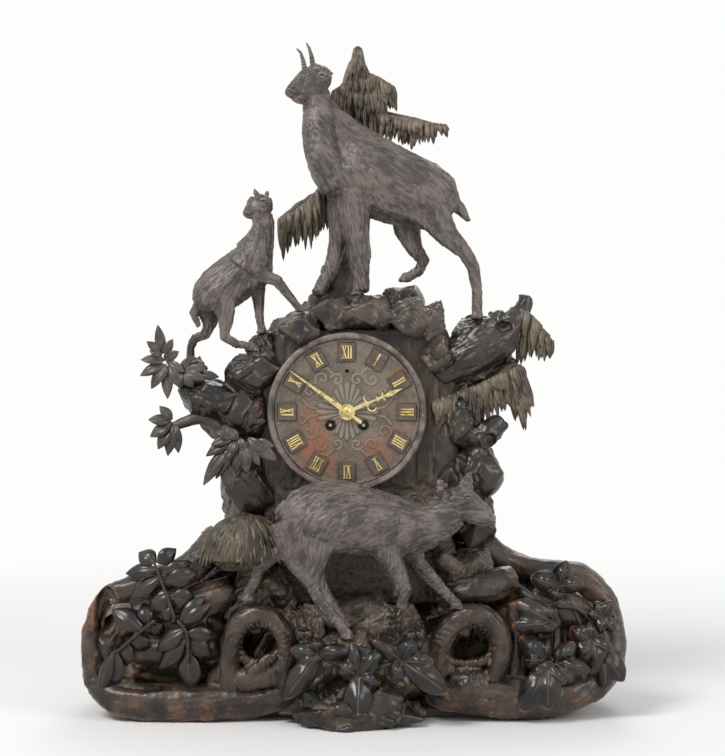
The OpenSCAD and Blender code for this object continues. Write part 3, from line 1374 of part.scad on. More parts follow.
door_gap = 0.4;
door_y = rear_y + door_gap + door_t;
door_foot = slot_floor - 8;
hinge_x = dial_x + door_w / 2 + knuckle_r + 0.4;
hinge_y = rear_y + knuckle_r + 0.4;
knuckle_l = 16;
hinge_low = door_foot + 60;
hinge_high = dial_z - 10;

module door_outline() {
    translate([-door_w / 2, door_foot - dial_z]) square([door_w, dial_z - door_foot]);
    circle(r = door_w / 2, $fn = 96);
}

module knuckle(from, to) translate([hinge_x, hinge_y, from]) cylinder(r = knuckle_r, h = to - from, $fn = 32);
module hinge_hole() translate([hinge_x, hinge_y, base_top]) cylinder(r = hinge_pin_r + running_gap, h = trunk_h, $fn = 32);

module rear_door() color(linden) difference() {
    union() {
        on_arbor([0, 0], door_y) linear_extrude(door_t) door_outline();
        knuckle(hinge_low + knuckle_l + 0.3, hinge_high - knuckle_l - 0.3);
        translate([hinge_x - knuckle_r - 8, hinge_y - 1, hinge_low + knuckle_l + 0.3])
            cube([knuckle_r + 8, 2, hinge_high - hinge_low - 2 * knuckle_l - 0.6]);
    }
    hinge_hole();
}

module door_hinge() color(brass) {
    for (z = [hinge_low, hinge_high - knuckle_l]) {
        knuckle(z, z + knuckle_l);
        translate([hinge_x, rear_y + 0.1, z]) cube([14, 1.6, knuckle_l]);
    }
    translate([hinge_x, hinge_y, hinge_low - 2]) cylinder(r = hinge_pin_r, h = hinge_high - hinge_low + 4, $fn = 32);
}

button_at = [-door_w / 2 - 5, -60];

module door_button() color(brass) {
    on_arbor(button_at, door_y + 2.2) linear_extrude(2) union() {
        circle(r = 4, $fn = 32);
        translate([-3, 0]) square([6, 13]);
    }
    rod(button_at, 2, rear_y + 0.2, door_y + 1);
}

base_plank();
base_mound();
root_scroll_left();
root_scroll_right();
root_loops();
front_foot_rock();
ground_rocks();
trunk_block();
rocks_top();
rocks_left();
rocks_right();
large_chamois();
large_chamois_horns();
kid_chamois();
lower_chamois();
leg_dowel();
fir_tree_top();
fir_bough_left();
fir_trees_right();
oak_branch_left();
oak_spray_centre();
leaf_sprays_left();
ivy_front();
ivy_right();
dial_disc();
dial_bezel();
numeral_plaques();
numerals();
winding_bushes();
minute_hand();
hour_hand();
hand_nut();
cannon_pinion();
minute_wheel();
hour_wheel();
front_plate();
back_plate();
movement_straps();
going_barrel();
going_arbor();
going_click();
going_intermediate();
centre_wheel();
third_wheel();
escape_wheel();
anchor();
suspension_cock();
pendulum();
strike_barrel();
strike_arbor();
strike_click();
strike_intermediate();
pin_wheel();
warning_wheel();
fly();
hammer();
bell();
rear_door();
door_hinge();
door_button();
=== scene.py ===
import bpy
import bmesh
import math
import numpy as np
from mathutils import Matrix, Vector
from mathutils.bvhtree import BVHTree


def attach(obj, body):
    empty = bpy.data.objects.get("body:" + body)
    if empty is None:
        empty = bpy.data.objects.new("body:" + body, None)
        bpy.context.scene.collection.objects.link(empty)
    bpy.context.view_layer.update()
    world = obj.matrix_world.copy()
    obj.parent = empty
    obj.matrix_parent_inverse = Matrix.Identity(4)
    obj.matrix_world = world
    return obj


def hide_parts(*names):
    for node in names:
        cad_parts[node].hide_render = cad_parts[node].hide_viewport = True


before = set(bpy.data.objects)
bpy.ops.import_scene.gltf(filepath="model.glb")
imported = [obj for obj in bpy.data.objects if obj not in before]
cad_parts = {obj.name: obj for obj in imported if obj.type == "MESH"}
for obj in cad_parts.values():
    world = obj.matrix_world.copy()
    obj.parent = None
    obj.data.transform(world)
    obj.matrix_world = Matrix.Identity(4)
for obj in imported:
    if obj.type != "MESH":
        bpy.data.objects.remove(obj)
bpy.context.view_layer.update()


# Studio: a white sweep on the table, one large soft lamp high at the left, a weaker one at
# the right and one behind, in a pale room. The camera looks level at the clock from 1.6 m.

def put(tree, kind, settings={}, **links):
    """Adds a node, with its settings, its values and its links by socket name or number."""
    made = tree.nodes.new(kind)
    for key, value in settings.items():
        setattr(made, key, value)
    for key, value in links.items():
        numbered = key[0] == "i" and key[1:].isdigit()
        socket = made.inputs[int(key[1:])] if numbered else made.inputs[key.replace("_", " ")]
        if isinstance(value, bpy.types.NodeSocket):
            tree.links.new(value, socket)
        else:
            socket.default_value = value
    return made


def srgb(code):
    """A hex colour as the linear values that Blender reads."""
    parts = [int(code[i:i + 2], 16) / 255 for i in (1, 3, 5)]
    return tuple(c / 12.92 if c <= 0.04045 else ((c + 0.055) / 1.055) ** 2.4 for c in parts) + (1.0,)


def empty_tree(owner):
    """The cleared node tree of a new material or world."""
    owner.use_nodes = True
    owner.node_tree.nodes.clear()
    return owner.node_tree


def ramp(tree, value, low, high, smooth=True, **ends):
    """A value brought from 0 to 1, or to ends of its own, between two limits."""
    settings = {"interpolation_type": "SMOOTHSTEP"} if smooth else {}
    return put(tree, "ShaderNodeMapRange", settings, Value=value, From_Min=low, From_Max=high, **ends).outputs["Result"]


def combine(tree, what, a, b, c=0.0):
    """Two or three numbers brought together by one operation."""
    return put(tree, "ShaderNodeMath", {"operation": what}, i0=a, i1=b, i2=c).outputs["Value"]


# The photograph: its middle in pixels, its focal length, and the eye in millimetres
middle_px, middle_py, focal, picture_high = 362.5, 378.0, 1600.0, 756.0
eye = np.array([9.0, -1648.0, 339.0])

camera = bpy.data.objects.new("camera", bpy.data.cameras.new("camera"))
bpy.context.scene.collection.objects.link(camera)
camera.location = Vector(eye / 1000)
camera.rotation_euler = (math.radians(90), 0, 0)
camera.data.sensor_width = 36
camera.data.lens = camera.data.sensor_width * focal / picture_high
camera.data.clip_end = 60
bpy.context.scene.camera = camera
bpy.context.scene.view_settings.view_transform = "Standard"

sweep = bpy.data.meshes.new("table")
sweep.from_pydata([(-20, -20, 0), (20, -20, 0), (20, 20, 0), (-20, 20, 0)], [], [(0, 1, 2, 3)])
table = bpy.data.objects.new("table", sweep)
bpy.context.scene.collection.objects.link(table)

# White paper: it keeps the soft shadow near the clock and fades to plain white further out
paper = bpy.data.materials.new("white_paper_sweep")
tree = empty_tree(paper)
place = put(tree, "ShaderNodeTexCoord")
away = put(tree, "ShaderNodeVectorMath", {"operation": "LENGTH"}, i0=place.outputs["Object"])
fade = ramp(tree, away.outputs["Value"], 0.45, 1.5)
lit = put(tree, "ShaderNodeBsdfDiffuse", Color=srgb("#f4f3f1"))
glow = put(tree, "ShaderNodeEmission", Color=srgb("#fdfdfc"), Strength=1.0)
both = put(tree, "ShaderNodeMixShader", i0=fade, i1=lit.outputs["BSDF"], i2=glow.outputs["Emission"])
put(tree, "ShaderNodeOutputMaterial", Surface=both.outputs["Shader"])
sweep.materials.append(paper)

world = bpy.data.worlds.new("studio")
bpy.context.scene.world = world
tree = empty_tree(world)
path = put(tree, "ShaderNodeLightPath")
glass = combine(tree, "MAXIMUM", path.outputs["Is Glossy Ray"], path.outputs["Is Transmission Ray"])
seen = combine(tree, "MAXIMUM", path.outputs["Is Camera Ray"], glass)
room = put(tree, "ShaderNodeBackground", Color=srgb("#f3f4f6"), Strength=0.5)
white = put(tree, "ShaderNodeBackground", Color=srgb("#fdfdfc"), Strength=1.0)
mixed = put(tree, "ShaderNodeMixShader", i0=seen, i1=room.outputs["Background"], i2=white.outputs["Background"])
put(tree, "ShaderNodeOutputWorld", Surface=mixed.outputs["Shader"])

lamp_aim = Vector((0, 0, 0.32))
for name, at, size, power in (("key", (-1.3, -1.5, 2.1), 1.0, 46), ("fill", (1.7, -1.3, 1.2), 1.1, 13),
                              ("back", (0.3, 1.6, 1.7), 1.2, 12)):
    lamp = bpy.data.objects.new(name, bpy.data.lights.new(name, "AREA"))
    bpy.context.scene.collection.objects.link(lamp)
    lamp.data.size = size
    lamp.data.energy = power
    lamp.location = at
    lamp.rotation_euler = (lamp_aim - Vector(at)).to_track_quat("-Z", "Y").to_euler()


# Base: a ground plank under a carved mound, with thick roots that curl over both ends, two
# root loops and a foot rock in front. All is linden, cut with gouges and stained almost
# black, waxed on the high parts, dusty in the hollows and rubbed orange brown low down.

def cell_number(cell, seed):
    """A whole number of its own for each cell of a grid in space."""
    n = (cell[:, 0] * 374761393 + cell[:, 1] * 668265263 + cell[:, 2] * 2147483629 + seed * 974711) & 0xFFFFFFFF
    n = ((n ^ (n >> 13)) * 1274126177) & 0xFFFFFFFF
    return n ^ (n >> 16)


def patches(p, size, seed):
    """Smooth noise from -1 to 1 at points in millimetres, with blobs of one size."""
    q = p / size
    cell = np.floor(q).astype(np.int64)
    f = q - cell
    f = f * f * (3 - 2 * f)
    total = np.zeros(len(p))
    for corner in np.ndindex(2, 2, 2):
        x, y, z = (f[:, k] if corner[k] else 1 - f[:, k] for k in range(3))
        total += ((cell_number(cell + corner, seed) & 0xFFFF) / 32767.5 - 1) * x * y * z
    return total


def gouge_cells(p, size, seed):
    """The nearest gouge cut of each point: how far its middle and the next one are, the way to it, its number."""
    q = p / size
    cell = np.floor(q).astype(np.int64)
    near = np.full(len(p), 9.0)
    second = np.full(len(p), 9.0)
    way = np.zeros_like(p)
    own = np.zeros(len(p), np.int64)
    for shift in np.ndindex(3, 3, 3):
        c = cell + shift - 1
        n = cell_number(c, seed)
        jitter = np.stack([((n >> bits) & 1023) / 1023 for bits in (0, 10, 20)], 1)
        d = q - (c + jitter)
        r = np.sqrt((d * d).sum(1))
        closer = r < near
        second = np.where(closer, near, np.minimum(second, r))
        near = np.where(closer, r, near)
        way[closer] = d[closer]
        own[closer] = n[closer]
    return near, second, way, own


def flats(p, size, depth, seed):
    """Chisel flats: each cut tilts its own way, and meets the next one on an edge."""
    near, second, way, own = gouge_cells(p, size, seed)
    tilt = np.stack([((own >> s) & 255) / 127.5 - 1 for s in (3, 11, 19)], 1)
    edge = np.clip((second - near) / 0.22, 0, 1)
    return depth * ((way * tilt).sum(1) + 0.25 * ((own >> 5) & 63) / 63) * (0.35 + 0.65 * edge)


def strokes(p, flow, width, length, seed):
    """Parting tool strokes that run with the flow, from -1 to 1."""
    total = np.zeros(len(p))
    for k in np.linspace(-1, 1, 9):
        total += patches(p + flow * (k * length / 2), width, seed)
    return np.clip(total / 3.4, -1, 1)


def flow_from(p, hints, reach=18.0):
    """The way that hair, bark or grass lies, mixed from hints of [x, y, z, dx, dy, dz]."""
    hints = np.array(hints, float)
    total = np.zeros_like(p)
    for h in hints:
        d = ((p - h[:3]) ** 2).sum(1)
        total += h[3:] / np.linalg.norm(h[3:]) * (1 / (d + reach ** 2) ** 1.5)[:, None]
    return total / (np.linalg.norm(total, axis=1)[:, None] + 1e-12)


def scribble(p, seed):
    """Moss and lichen: short wavy cuts of a small veiner that curl every way."""
    flow = np.stack([patches(p, 9, seed), patches(p, 9, seed + 1), patches(p, 9, seed + 2)], 1)
    flow /= np.linalg.norm(flow, axis=1)[:, None] + 1e-9
    return 1.1 * strokes(p, flow, 2.2, 9, seed + 3) + 0.9 * patches(p, 7, seed + 4)


def line_distance(p, line):
    """Distance from points to a broken line."""
    best = np.full(len(p), 1e9)
    line = np.array(line, float)
    for a, b in zip(line[:-1], line[1:]):
        ab = b - a
        t = np.clip(((p - a) @ ab) / (np.linalg.norm(ab) ** 2), 0, 1)
        d = np.linalg.norm(p - a - t[:, None] * ab, axis=1)
        best = np.minimum(best, d)
    return best


def bump_at(p, middle, radius):
    """A round swelling of height 1 about a point."""
    return np.exp(-((p - middle) ** 2).sum(1) / radius ** 2)


def step(x, low, high):
    """0 below a limit, 1 above another, and a soft change between."""
    t = np.clip((x - low) / (high - low), 0, 1)
    return t * t * (3 - 2 * t)


def read_points(mesh):
    """The points of a mesh in millimetres."""
    co = np.zeros(len(mesh.vertices) * 3, np.float32)
    mesh.vertices.foreach_get("co", co)
    return co.reshape(-1, 3).astype(float) * 1000


def write_points(mesh, co):
    """Points in millimetres put back into their mesh."""
    mesh.vertices.foreach_set("co", (co / 1000).astype(np.float32).ravel())
    mesh.update()


def write_field(mesh, key, values):
    """A number at each point, for the finish to read."""
    field = mesh.attributes.get(key) or mesh.attributes.new(key, "FLOAT", "POINT")
    field.data.foreach_set("value", np.asarray(values).astype(np.float32))


def read_normals(mesh):
    """The way out of the wood at each point."""
    n = np.zeros(len(mesh.vertices) * 3, np.float32)
    mesh.vertices.foreach_get("normal", n)
    return n.reshape(-1, 3).astype(float)


def neighbours(mesh):
    """The ends of each edge, and how many edges meet at each point."""
    pairs = np.zeros(len(mesh.edges) * 2, np.int32)
    mesh.edges.foreach_get("vertices", pairs)
    pairs = pairs.reshape(-1, 2)
    return pairs, np.maximum(np.bincount(pairs.ravel(), minlength=len(mesh.vertices)), 1).astype(float)


def spread(co, pairs, count, times, share=0.5):
    """Each point moves towards the middle of its neighbours."""
    a, b = pairs[:, 0], pairs[:, 1]
    for _ in range(times):
        total = np.stack([np.bincount(a, co[b, k], len(co)) + np.bincount(b, co[a, k], len(co))
                          for k in range(co.shape[1])], 1)
        co = co + share * (total / count[:, None] - co)
    return co


def mark_wear(mesh, near=4, far=26):
    """Two numbers at each point: edge, where hands rub, and hollow, where dust lies."""
    co, normal = read_points(mesh), read_normals(mesh)
    pairs, count = neighbours(mesh)
    soft = spread(co, pairs, count, near)
    softer = spread(soft, pairs, count, far - near)
    fine = ((co - soft) * normal).sum(1)
    broad = ((co - softer) * normal).sum(1)
    write_field(mesh, "edge", np.clip(fine / 0.5 + broad / 5, 0, 1))
    write_field(mesh, "hollow", np.clip(-fine / 0.45 - broad / 3.5, 0, 1))


def spot(px, py, y):
    """The point, in millimetres, that shows at a place of the picture and lies at a depth."""
    k = (y - eye[1]) / focal
    return np.array([eye[0] + (px - middle_px) * k, y, eye[2] + (middle_py - py) * k])


def on_picture(p):
    """Where points in millimetres show in the picture."""
    k = (p[:, 1] - eye[1]) / focal
    return middle_px + (p[:, 0] - eye[0]) / k, middle_py - (p[:, 2] - eye[2]) / k


def finish_piece(name, mesh, material, stands_for=()):
    """Links a finished mesh as a piece that rides on the case."""
    made = bpy.data.objects.new(name, mesh)
    bpy.context.scene.collection.objects.link(made)
    mesh.name = name
    if not mesh.materials:
        mesh.materials.append(material)
    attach(made, "carved_case")
    if stands_for:
        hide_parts(*stands_for)
    return made


def surface_part(grid, closed_round=False):
    """A grid of points as faces; a closed one joins its last column to its first."""
    rows, cols = grid.shape[:2]
    idx = np.arange(rows * cols).reshape(rows, cols)
    a, b = idx[:-1, :], idx[1:, :]
    if closed_round:
        quads = np.stack([a, np.roll(a, -1, 1), np.roll(b, -1, 1), b], 2).reshape(-1, 4)
    else:
        quads = np.stack([a[:, :-1], a[:, 1:], b[:, 1:], b[:, :-1]], 2).reshape(-1, 4)
    return grid.reshape(-1, 3), [tuple(q) for q in quads.tolist()]


def end_caps(rows, cols):
    """The first and the last row of a closed grid as faces that shut it."""
    return [tuple(range(cols - 1, -1, -1)), tuple(range((rows - 1) * cols, rows * cols))]


def bough(points, radii, sides=10, rough=0.0, seed=1, fine=6):
    """A twig, root or vein: a closed tube on a smooth line, with its own radius at each point."""
    points = np.array(points, float)
    t = np.linspace(0, len(points) - 1, max(8, fine * len(points)))
    i = np.clip(t.astype(int), 0, len(points) - 2)
    f = (t - i)[:, None]
    prev, nxt = points[np.maximum(i - 1, 0)], points[np.minimum(i + 2, len(points) - 1)]
    a, b = points[i], points[i + 1]
    line = 0.5 * (2 * a + (b - prev) * f + (2 * prev - 5 * a + 4 * b - nxt) * f ** 2
                  + (3 * a - prev - 3 * b + nxt) * f ** 3)
    way = np.gradient(line, axis=0)
    way /= np.linalg.norm(way, axis=1)[:, None]
    side = np.cross(way, (0.0, 1.0, 0.1))
    side /= np.linalg.norm(side, axis=1)[:, None] + 1e-9
    up = np.cross(side, way)
    radius = np.interp(t / t[-1], np.linspace(0, 1, len(radii)), radii)
    radius[0] *= 0.3
    radius[-1] *= 0.35
    turn = np.linspace(0, 2 * np.pi, sides, endpoint=False)[None, :, None]
    grid = line[:, None] + radius[:, None, None] * (np.cos(turn) * side[:, None] + np.sin(turn) * up[:, None])
    if rough:
        skin = grid.reshape(-1, 3)
        out = skin - np.repeat(line, sides, 0)
        out /= np.linalg.norm(out, axis=1)[:, None] + 1e-9
        rise = rough * (patches(skin, 5, seed) + 0.6 * patches(skin * (1, 1, 0.4), 2.4, seed + 1))
        grid = (skin + out * rise[:, None]).reshape(grid.shape)
    co, faces = surface_part(grid, True)
    faces = [f[::-1] for f in faces + end_caps(len(line), sides)]
    return co, faces, np.full(len(co), 0.15), np.full(len(co), 0.25)


def twig(points, r0, r1, sides=10, rough=0.0, seed=1):
    """A tube that tapers evenly from one end to the other."""
    return bough(points, (r0, r1), sides, rough, seed)


def root(rows, sides=26):
    """A thick root through places of the picture, as rows of place, depth and radius."""
    return bough([spot(*row[:3]) for row in rows], [row[3] for row in rows], sides, fine=8)


def mesh_of(name, parts, smooth=True):
    """Parts of (points in millimetres, faces, edge, hollow) as one mesh."""
    faces, gone = [], 0
    for part in parts:
        faces += [tuple(i + gone for i in f) for f in part[1]]
        gone += len(part[0])
    made = bpy.data.meshes.new(name)
    made.from_pydata((np.concatenate([part[0] for part in parts]) / 1000).tolist(), [], faces)
    write_field(made, "edge", np.concatenate([part[2] for part in parts]))
    write_field(made, "hollow", np.concatenate([part[3] for part in parts]))
    if smooth:
        made.shade_smooth()
    return made


def carve(node, name, grain, relief, finish, rounds=6, grow=0.5, parts=(), shape=None, solid=True):
    """A CAD solid, drawn in where asked, with limbs before it, as one fine skin with its relief cut in."""
    rough = bpy.data.meshes.new(name)
    joined = bmesh.new()
    if solid:
        joined.from_mesh(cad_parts[node].data)
        bmesh.ops.remove_doubles(joined, verts=joined.verts, dist=1e-6)
        joined.to_mesh(rough)
        if shape:
            write_points(rough, shape(read_points(rough)))
        joined.clear()
        joined.from_mesh(rough)
    if parts:
        limbs = mesh_of("limbs", parts)
        joined.from_mesh(limbs)
        bpy.data.meshes.remove(limbs)
    joined.to_mesh(rough)
    joined.free()

    # One skin over solid and limbs
    block = bpy.data.objects.new(name + ".block", rough)
    bpy.context.scene.collection.objects.link(block)
    remesh = block.modifiers.new("skin", "REMESH")
    remesh.mode = "VOXEL"
    remesh.voxel_size = grain / 1000
    remesh.use_smooth_shade = True
    mesh = bpy.data.meshes.new_from_object(block.evaluated_get(bpy.context.evaluated_depsgraph_get()))
    bpy.data.objects.remove(block)
    mesh.materials.clear()

    # Rounded without shrinking, then cut along its normals, and pushed back where it has holes
    co = read_points(mesh)
    pairs, count = neighbours(mesh)
    for _ in range(rounds):
        co = spread(co, pairs, count, 1, 0.6)
        co = spread(co, pairs, count, 1, -0.5)
    write_points(mesh, co)
    normal = read_normals(mesh)
    cut = relief(co, normal)
    rise, fields = cut if isinstance(cut, tuple) else (cut, {})
    move = normal * (grow + rise)[:, None]
    if "back" in fields:
        move[:, 1] += fields.pop("back")
    co = spread(co + move, pairs, count, 1, 0.25)
    co[:, 2] = np.maximum(co[:, 2], 0.05)
    write_points(mesh, co)
    mark_wear(mesh)
    for key, value in fields.items():
        write_field(mesh, key, value)
    return finish_piece(name, mesh, finish, [node])


def mottle(tree, place, millimetres, detail, roughness, **more):
    """Uneven noise with patches of one size."""
    return put(tree, "ShaderNodeTexNoise", Vector=place, Scale=1000 / millimetres, Detail=detail,
               Roughness=roughness, **more).outputs["Fac"]


def blend(tree, share, under, over):
    """One colour laid over another."""
    return put(tree, "ShaderNodeMix", {"data_type": "RGBA"}, Factor=share, i6=under, i7=over).outputs[2]


def stained_linden(name, dark, light, dust, worn, gloss, dusty, rubbed, pore=0.5, low=0.0):
    """Linden stained and waxed: the stain is uneven, dust lies in the cuts, edges rub through to the wood, and painted
    shade darkens the cuts marked for it.
    """
    made = bpy.data.materials.new(name)
    tree = empty_tree(made)
    place = put(tree, "ShaderNodeTexCoord").outputs["Object"]
    edge, hollow, hair, ink = (put(tree, "ShaderNodeAttribute", {"attribute_name": key}).outputs["Fac"]
                               for key in ("edge", "hollow", "hair", "ink"))
    stain = mottle(tree, place, 28, 5.0, 0.6)
    uneven = ramp(tree, combine(tree, "MULTIPLY_ADD", hair, 0.17, stain), 0.34, 0.7)
    body = blend(tree, uneven, srgb(dark), srgb(light))

    # Dust lies unevenly in the hollows
    lying = combine(tree, "MULTIPLY_ADD", mottle(tree, place, 5, 4.0, 0.7), 0.9, hollow)
    body = blend(tree, ramp(tree, lying, 0.62, 1.35, To_Max=dusty), body, srgb(dust))

    # Hands and dusters wear the edges and, near the table, all that stands low
    height = put(tree, "ShaderNodeSeparateXYZ", Vector=place).outputs["Z"]
    touch = combine(tree, "ADD", edge, ramp(tree, height, 0.045, 0.004, False, To_Max=low))
    handled = combine(tree, "MULTIPLY_ADD", stain, 1.3, touch)
    body = blend(tree, ramp(tree, handled, 1.25 - rubbed, 1.75 - rubbed), body, srgb(worn))
    # Painted shade: near black where cuts and creases are marked for it
    body = blend(tree, ink, body, srgb("#171210"))

    # The wax shines where no dust lies, over open pores
    rough = ramp(tree, lying, 0.45, 1.3, False, To_Min=gloss, To_Max=0.85)
    pores = put(tree, "ShaderNodeBump", Height=mottle(tree, place, 1.6, 3.0, 0.6), Strength=pore, Distance=0.0006)
    shader = put(tree, "ShaderNodeBsdfPrincipled", Base_Color=body, Roughness=rough, Normal=pores.outputs["Normal"],
                 IOR=1.45, Coat_Weight=0.1, Coat_Roughness=0.22)
    put(tree, "ShaderNodeOutputMaterial", Surface=shader.outputs["BSDF"])
    return made


# Roots: brown black with a low sheen and grey dust in their grooves, orange brown by the table
root_finish = stained_linden("stained_linden_root", "#1f1814", "#524337", "#9b8b74", "#744c33",
                             gloss=0.25, dusty=0.55, rubbed=-0.08, low=0.5)
# Ground: dull, dry and pale with the dust of years
ground_finish = stained_linden("stained_linden_ground", "#2c241c", "#5a4d3e", "#a2937a", "#7a4a2e",
                               gloss=0.5, dusty=0.85, rubbed=-0.25, pore=0.7, low=0.1)
# Rocks: nearly black, with a wet looking shine on the chisel flats
rock_finish = stained_linden("stained_linden_rock", "#151210", "#3a312b", "#8a7d6a", "#6b4029",
                             gloss=0.22, dusty=0.55, rubbed=-0.3, pore=0.35)
# Ledges under the animals: browner and duller than the rocks
ledge_finish = stained_linden("stained_linden_ledge", "#1c1815", "#5c5046", "#94866f", "#6b4029",
                              gloss=0.34, dusty=0.7, rubbed=-0.3)

# The roots' courses: rows of place in the picture, depth and radius
left_courses = [
    [(96, 670, -44, 13), (105, 687, -54, 15.5), (126, 699, -60, 17.5), (160, 703, -62, 18.5), (205, 703, -62, 19),
     (245, 702, -62, 17), (280, 697, -62, 14), (300, 692, -60, 11)],
    [(98, 682, -50, 13), (92, 660, -56, 10.5), (90, 640, -58, 8.5), (96, 614, -58, 8.5), (108, 597, -58, 9.5),
     (130, 589, -56, 12), (155, 581, -54, 13), (185, 571, -48, 15), (205, 555, -38, 16), (220, 536, -22, 16)],
    [(132, 606, -48, 15), (152, 608, -48, 18), (180, 606, -48, 20), (214, 600, -48, 19), (236, 590, -46, 14)],
    [(134, 646, -46, 18), (160, 648, -48, 20), (196, 646, -50, 20), (218, 640, -52, 17)],
    [(150, 625, -44, 16), (180, 626, -46, 18), (212, 622, -50, 16)],
    [(110, 666, -50, 12), (124, 671, -54, 13), (136, 678, -54, 9)],
    [(208, 680, -54, 9), (222, 674, -56, 14), (238, 668, -58, 14)]]
right_courses = [
    [(428, 690, -58, 14), (450, 694, -62, 17), (490, 697, -62, 20), (530, 698, -62, 20), (565, 694, -58, 18),
     (592, 684, -50, 16), (607, 665, -42, 15), (612, 640, -36, 13.5), (607, 612, -32, 13), (598, 594, -30, 13),
     (580, 577, -28, 13.5), (560, 574, -24, 14), (530, 570, -20, 13), (500, 557, -12, 12), (482, 541, -6, 12)],
    [(436, 598, -52, 10), (465, 591, -60, 14), (490, 585, -60, 15), (514, 578, -52, 14)],
    [(514, 600, -46, 14), (518, 632, -50, 15), (514, 662, -52, 14), (512, 684, -54, 12)],
    [(530, 598, -42, 16), (560, 606, -44, 19), (584, 626, -42, 18), (586, 654, -42, 17), (566, 674, -48, 16)],
    [(540, 632, -42, 18), (556, 650, -44, 20), (540, 674, -50, 16)]]
left_ring = [(232, 702, -62, 10), (229, 672, -70, 10), (231, 645, -73, 10.5), (240, 623, -75, 10.5),
             (257, 614, -76, 10), (272, 619, -76, 10), (284, 636, -75, 9.5), (287, 655, -72, 9), (283, 677, -68, 9),
             (286, 694, -62, 8)]
right_ring = [(436, 692, -62, 10), (437, 665, -70, 10.5), (441, 641, -74, 11), (455, 621, -76, 11), (476, 615, -77, 11),
              (493, 624, -75, 11), (500, 641, -73, 10.5), (500, 661, -70, 10), (492, 680, -66, 9)]
ring_holes = ((261, 643, 18, 15), (466, 644, 22, 14))   # place and radii


def lay(courses):
    """Hints for the lie of the grain along thick roots."""
    hints = []
    for rows in courses:
        line = [spot(*row[:3]) for row in rows]
        hints += [[*a, *(b - a)] for a, b in zip(line[:-1], line[1:])]
    return hints


def drawn_in(middle, share, front, left):
    """Moves points towards a middle, and what stands before a depth back to near it."""
    def shape(p):
        p = middle + (p - middle) * share
        p[:, 1] = np.where(p[:, 1] < front, front + (p[:, 1] - front) * left, p[:, 1])
        return p
    return shape


def sunk(p, n, holes):
    """How far each point goes back for holes seen in the picture, as rows of place, two radii and depth."""
    px, py = on_picture(p)
    back = np.zeros(len(p))
    for hx, hy, rx, ry, deep in holes:
        off = np.sqrt(((px - hx) / rx) ** 2 + ((py - hy) / ry) ** 2)
        back = np.maximum(back, deep * (1 - step(off, 0.62, 1.15)))
    return back * (p[:, 1] < -20) * step(-n[:, 1], -0.3, 0.2)


def root_relief(courses, holes, reach=20):
    """Long wavering gouge grooves that follow the courses, moss between them, and holes sunk in."""
    hints = lay(courses)

    def relief(p, n):
        flow = flow_from(p, hints, reach)
        mossy = step(patches(p, 40, 5), 0.15, 0.5) * step(p[:, 1], -66, -50)
        broad = 1.5 * strokes(p, flow, 7.0, 64, 3) + 0.75 * strokes(p, flow, 3.4, 34, 4)
        along = broad + 0.25 * strokes(p, flow, 1.9, 14, 8)
        rise = along * (1 - 0.7 * mossy) + 0.9 * mossy * scribble(p, 6) + 0.6 * patches(p, 13, 7)
        return rise, {"back": sunk(p, n, holes)}
    return relief


def ring_relief(p, n):
    """Grooves round each ring, and a fringe of short teeth round its hole."""
    flow = flow_from(p, lay([left_ring, right_ring]), 9)
    px, py = on_picture(p)
    fringe = np.zeros(len(p))
    for hx, hy, rx, ry in ring_holes:
        off = np.sqrt(((px - hx) / rx) ** 2 + ((py - hy) / ry) ** 2)
        turn = np.arctan2(py - hy, px - hx)
        fringe += np.exp(-((off - 1.25) / 0.25) ** 2) * np.cos(26 * turn + 3 * patches(p, 9, 2))
    grooves = 1.0 * strokes(p, flow, 5.0, 44, 18) + 0.6 * strokes(p, flow, 2.4, 20, 19)
    return grooves + 0.4 * patches(p, 9, 20) + 0.55 * fringe


def ground_relief(p, n):
    """Moss on broad chisel flats, and the dark hollows behind the two rings."""
    mossy = step(patches(p, 34, 9), -0.35, 0.25)
    cover = mossy * scribble(p, 10) + (1 - mossy) * flats(p, 19, 3.2, 12)
    rise = cover + 0.6 * patches(p, 16, 13) + 1.8 * patches(p, 38, 1)
    return rise, {"back": sunk(p, n, ((261, 643, 22, 20, 30), (466, 644, 26, 19, 30)))}


def rock_relief(p, n):
    """Chisel flats, with the thin layers of slate on some of them."""
    cut = flats(p, 24, 4.4, 14)
    layers = np.sin(2 * np.pi * (p[:, 2] * 0.6 + p[:, 0] * 0.35 + 9 * patches(p, 26, 15)) / 4.6)
    marked = step(patches(p, 22, 16), 0.05, 0.35)
    return cut - 0.55 * marked * np.maximum(layers, -0.2) + 0.22 * patches(p, 5, 17)


carve("base_mound", "carved_mound", 2.0, ground_relief, ground_finish, rounds=14)
left_holes = ((106, 614, 11, 27, 20), (171, 676.5, 36, 8.5, 18), (262, 645, 24, 22, 34))
right_holes = ((548, 640, 16, 24, 10), (466, 645, 28, 22, 34))
for side, node, name, courses, holes in ((-1, "root_scroll_left", "left_root", left_courses, left_holes),
                                         (1, "root_scroll_right", "right_root", right_courses, right_holes)):
    carve(node, name, 1.8, root_relief(courses, holes), root_finish, rounds=14,
          parts=[root(rows) for rows in courses], shape=drawn_in((side * 160, 18, 60), (0.93, 0.97, 0.9), -46, 0.35))

